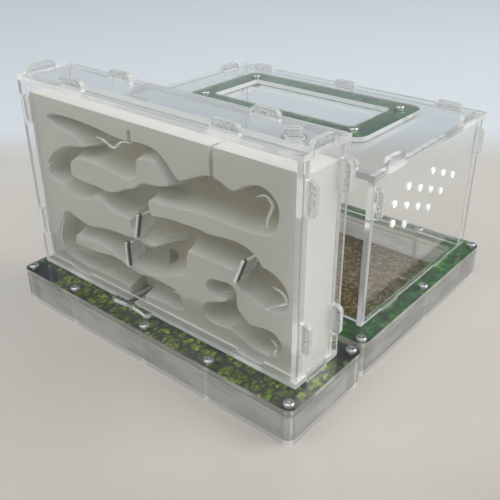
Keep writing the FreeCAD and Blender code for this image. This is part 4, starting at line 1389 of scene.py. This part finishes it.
def main() -> None:
    """Build every piece in order."""
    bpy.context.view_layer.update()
    effects = SharedEffects()
    face = ClearFinish("clear_sheet").build(effects)
    nest_face = ClearFinish("clear_sheet_nest", box=((-0.0962, -0.0862, -0.01),
                                                     (0.0922, -0.0518, 0.1341))).build(effects)
    arena_face = ClearFinish("clear_sheet_arena", box=((-0.0951, -0.0262, -0.01),
                                                       (0.0901, 0.0987, 0.1055))).build(effects)
    # Every sawn edge finish below emits a little: painted light for the light piped through the
    # sheet.
    edges = {broad: SawnEdgeFinish(f"sawn_edge_{broad.name.lower()}", broad).build(effects)
             for broad in Broad}
    # The stack edge carries grey wisps: painted shade for what shows through it.
    stack = SawnEdgeFinish("stack_edge", Broad.Z, tint=(0.90, 0.90, 0.865, 1.0), milk=0.34,
                           gloss=0.05, shadow=0.6, painted_glow=0.05, painted_see_through_shade=0.6).build(effects)
    moulded = ClearFinish("clear_moulded", milk=0.12).build(effects)
    gate = ClearFinish("clear_gate", milk=0.3, shadow=0.3).build(effects)
    gate_end = SawnEdgeFinish("gate_end", Broad.X, milk=0.5, painted_glow=0.12).build(effects)
    slot_wall = SlotWallFinish().build(effects)
    # Milky white for the ridges at gallery ends: painted highlights for bright glints.
    glue = ClearFinish("clear_glint_white", tint=(1.0, 1.0, 1.0, 1.0), milk=0.6).build(effects)
    corners = tuple((x, y, 0.0175) for x in (-0.0955, 0.0955) for y in (-0.0955, -0.0445))
    corners += ((-0.0865, -0.0955, 0.0175), (-0.079, -0.0945, 0.0175))
    nest_print = PrintFinish("nest_leaf_print", 560.0, (0.004, 0.014, 0.001, 1.0),
                             (0.12, 0.27, 0.006, 1.0), (0.52, 0.70, 0.015, 1.0), 1.0, 0.45,
                             corners)
    arena_print = PrintFinish("arena_leaf_print", 300.0, (0.004, 0.035, 0.006, 1.0),
                              (0.014, 0.14, 0.016, 1.0), (0.11, 0.46, 0.025, 1.0), 0.1, 0.35)
    lid_print = PrintFinish("lid_leaf_print", 300.0, (0.004, 0.032, 0.006, 1.0),
                            (0.012, 0.12, 0.012, 1.0), (0.09, 0.38, 0.015, 1.0), 0.1, 0.35)
    steel = SteelFinish().build()
    Studio().build(TableFinish().build())
    base_face = ClearFinish("clear_sheet_base", shadow=0.6).build(effects)
    floor_face = ClearFinish("clear_sheet_floor", tint=(0.86, 0.88, 0.80, 1.0), milk=0.3,
                             shadow=0.3).build(effects)
    # The top-plate edge carries grey wisps, painted shade for what shows through it, and emits a
    # little, painted light.
    plate_edge = SawnEdgeFinish("plate_edge", Broad.Z, tint=(0.84, 0.84, 0.76, 1.0), milk=0.38,
                                painted_glow=0.03, painted_see_through_shade=0.5).build(effects)
    # The vent walls emit brightly: painted highlights in the ventilation holes.
    vent_wall_highlight = SawnEdgeFinish("vent_wall_highlight", Broad.X, milk=0.5, painted_glow=0.45).build(effects)
    slide_edge = SawnEdgeFinish("slide_edge", Broad.Z, milk=0.25, painted_glow=0.05).build(effects)
    ClearSheets(face, nest_face, arena_face, edges, stack, slot_wall, base_face, floor_face,
                plate_edge, vent_wall_highlight).build()
    SmallClearPieces(gate, gate_end, moulded, face, slide_edge).build()
    PictureFilms(nest_print.build(effects), arena_print.build(effects),
                 lid_print.build(effects)).build()
    CarvedBlock(PlasterFinish().build(effects)).build()
    SandBed(SandFinish().build(effects)).build()
    Fasteners(steel).build()
    GlintRidges(glue).build()


if __name__ == "__main__":
    main()
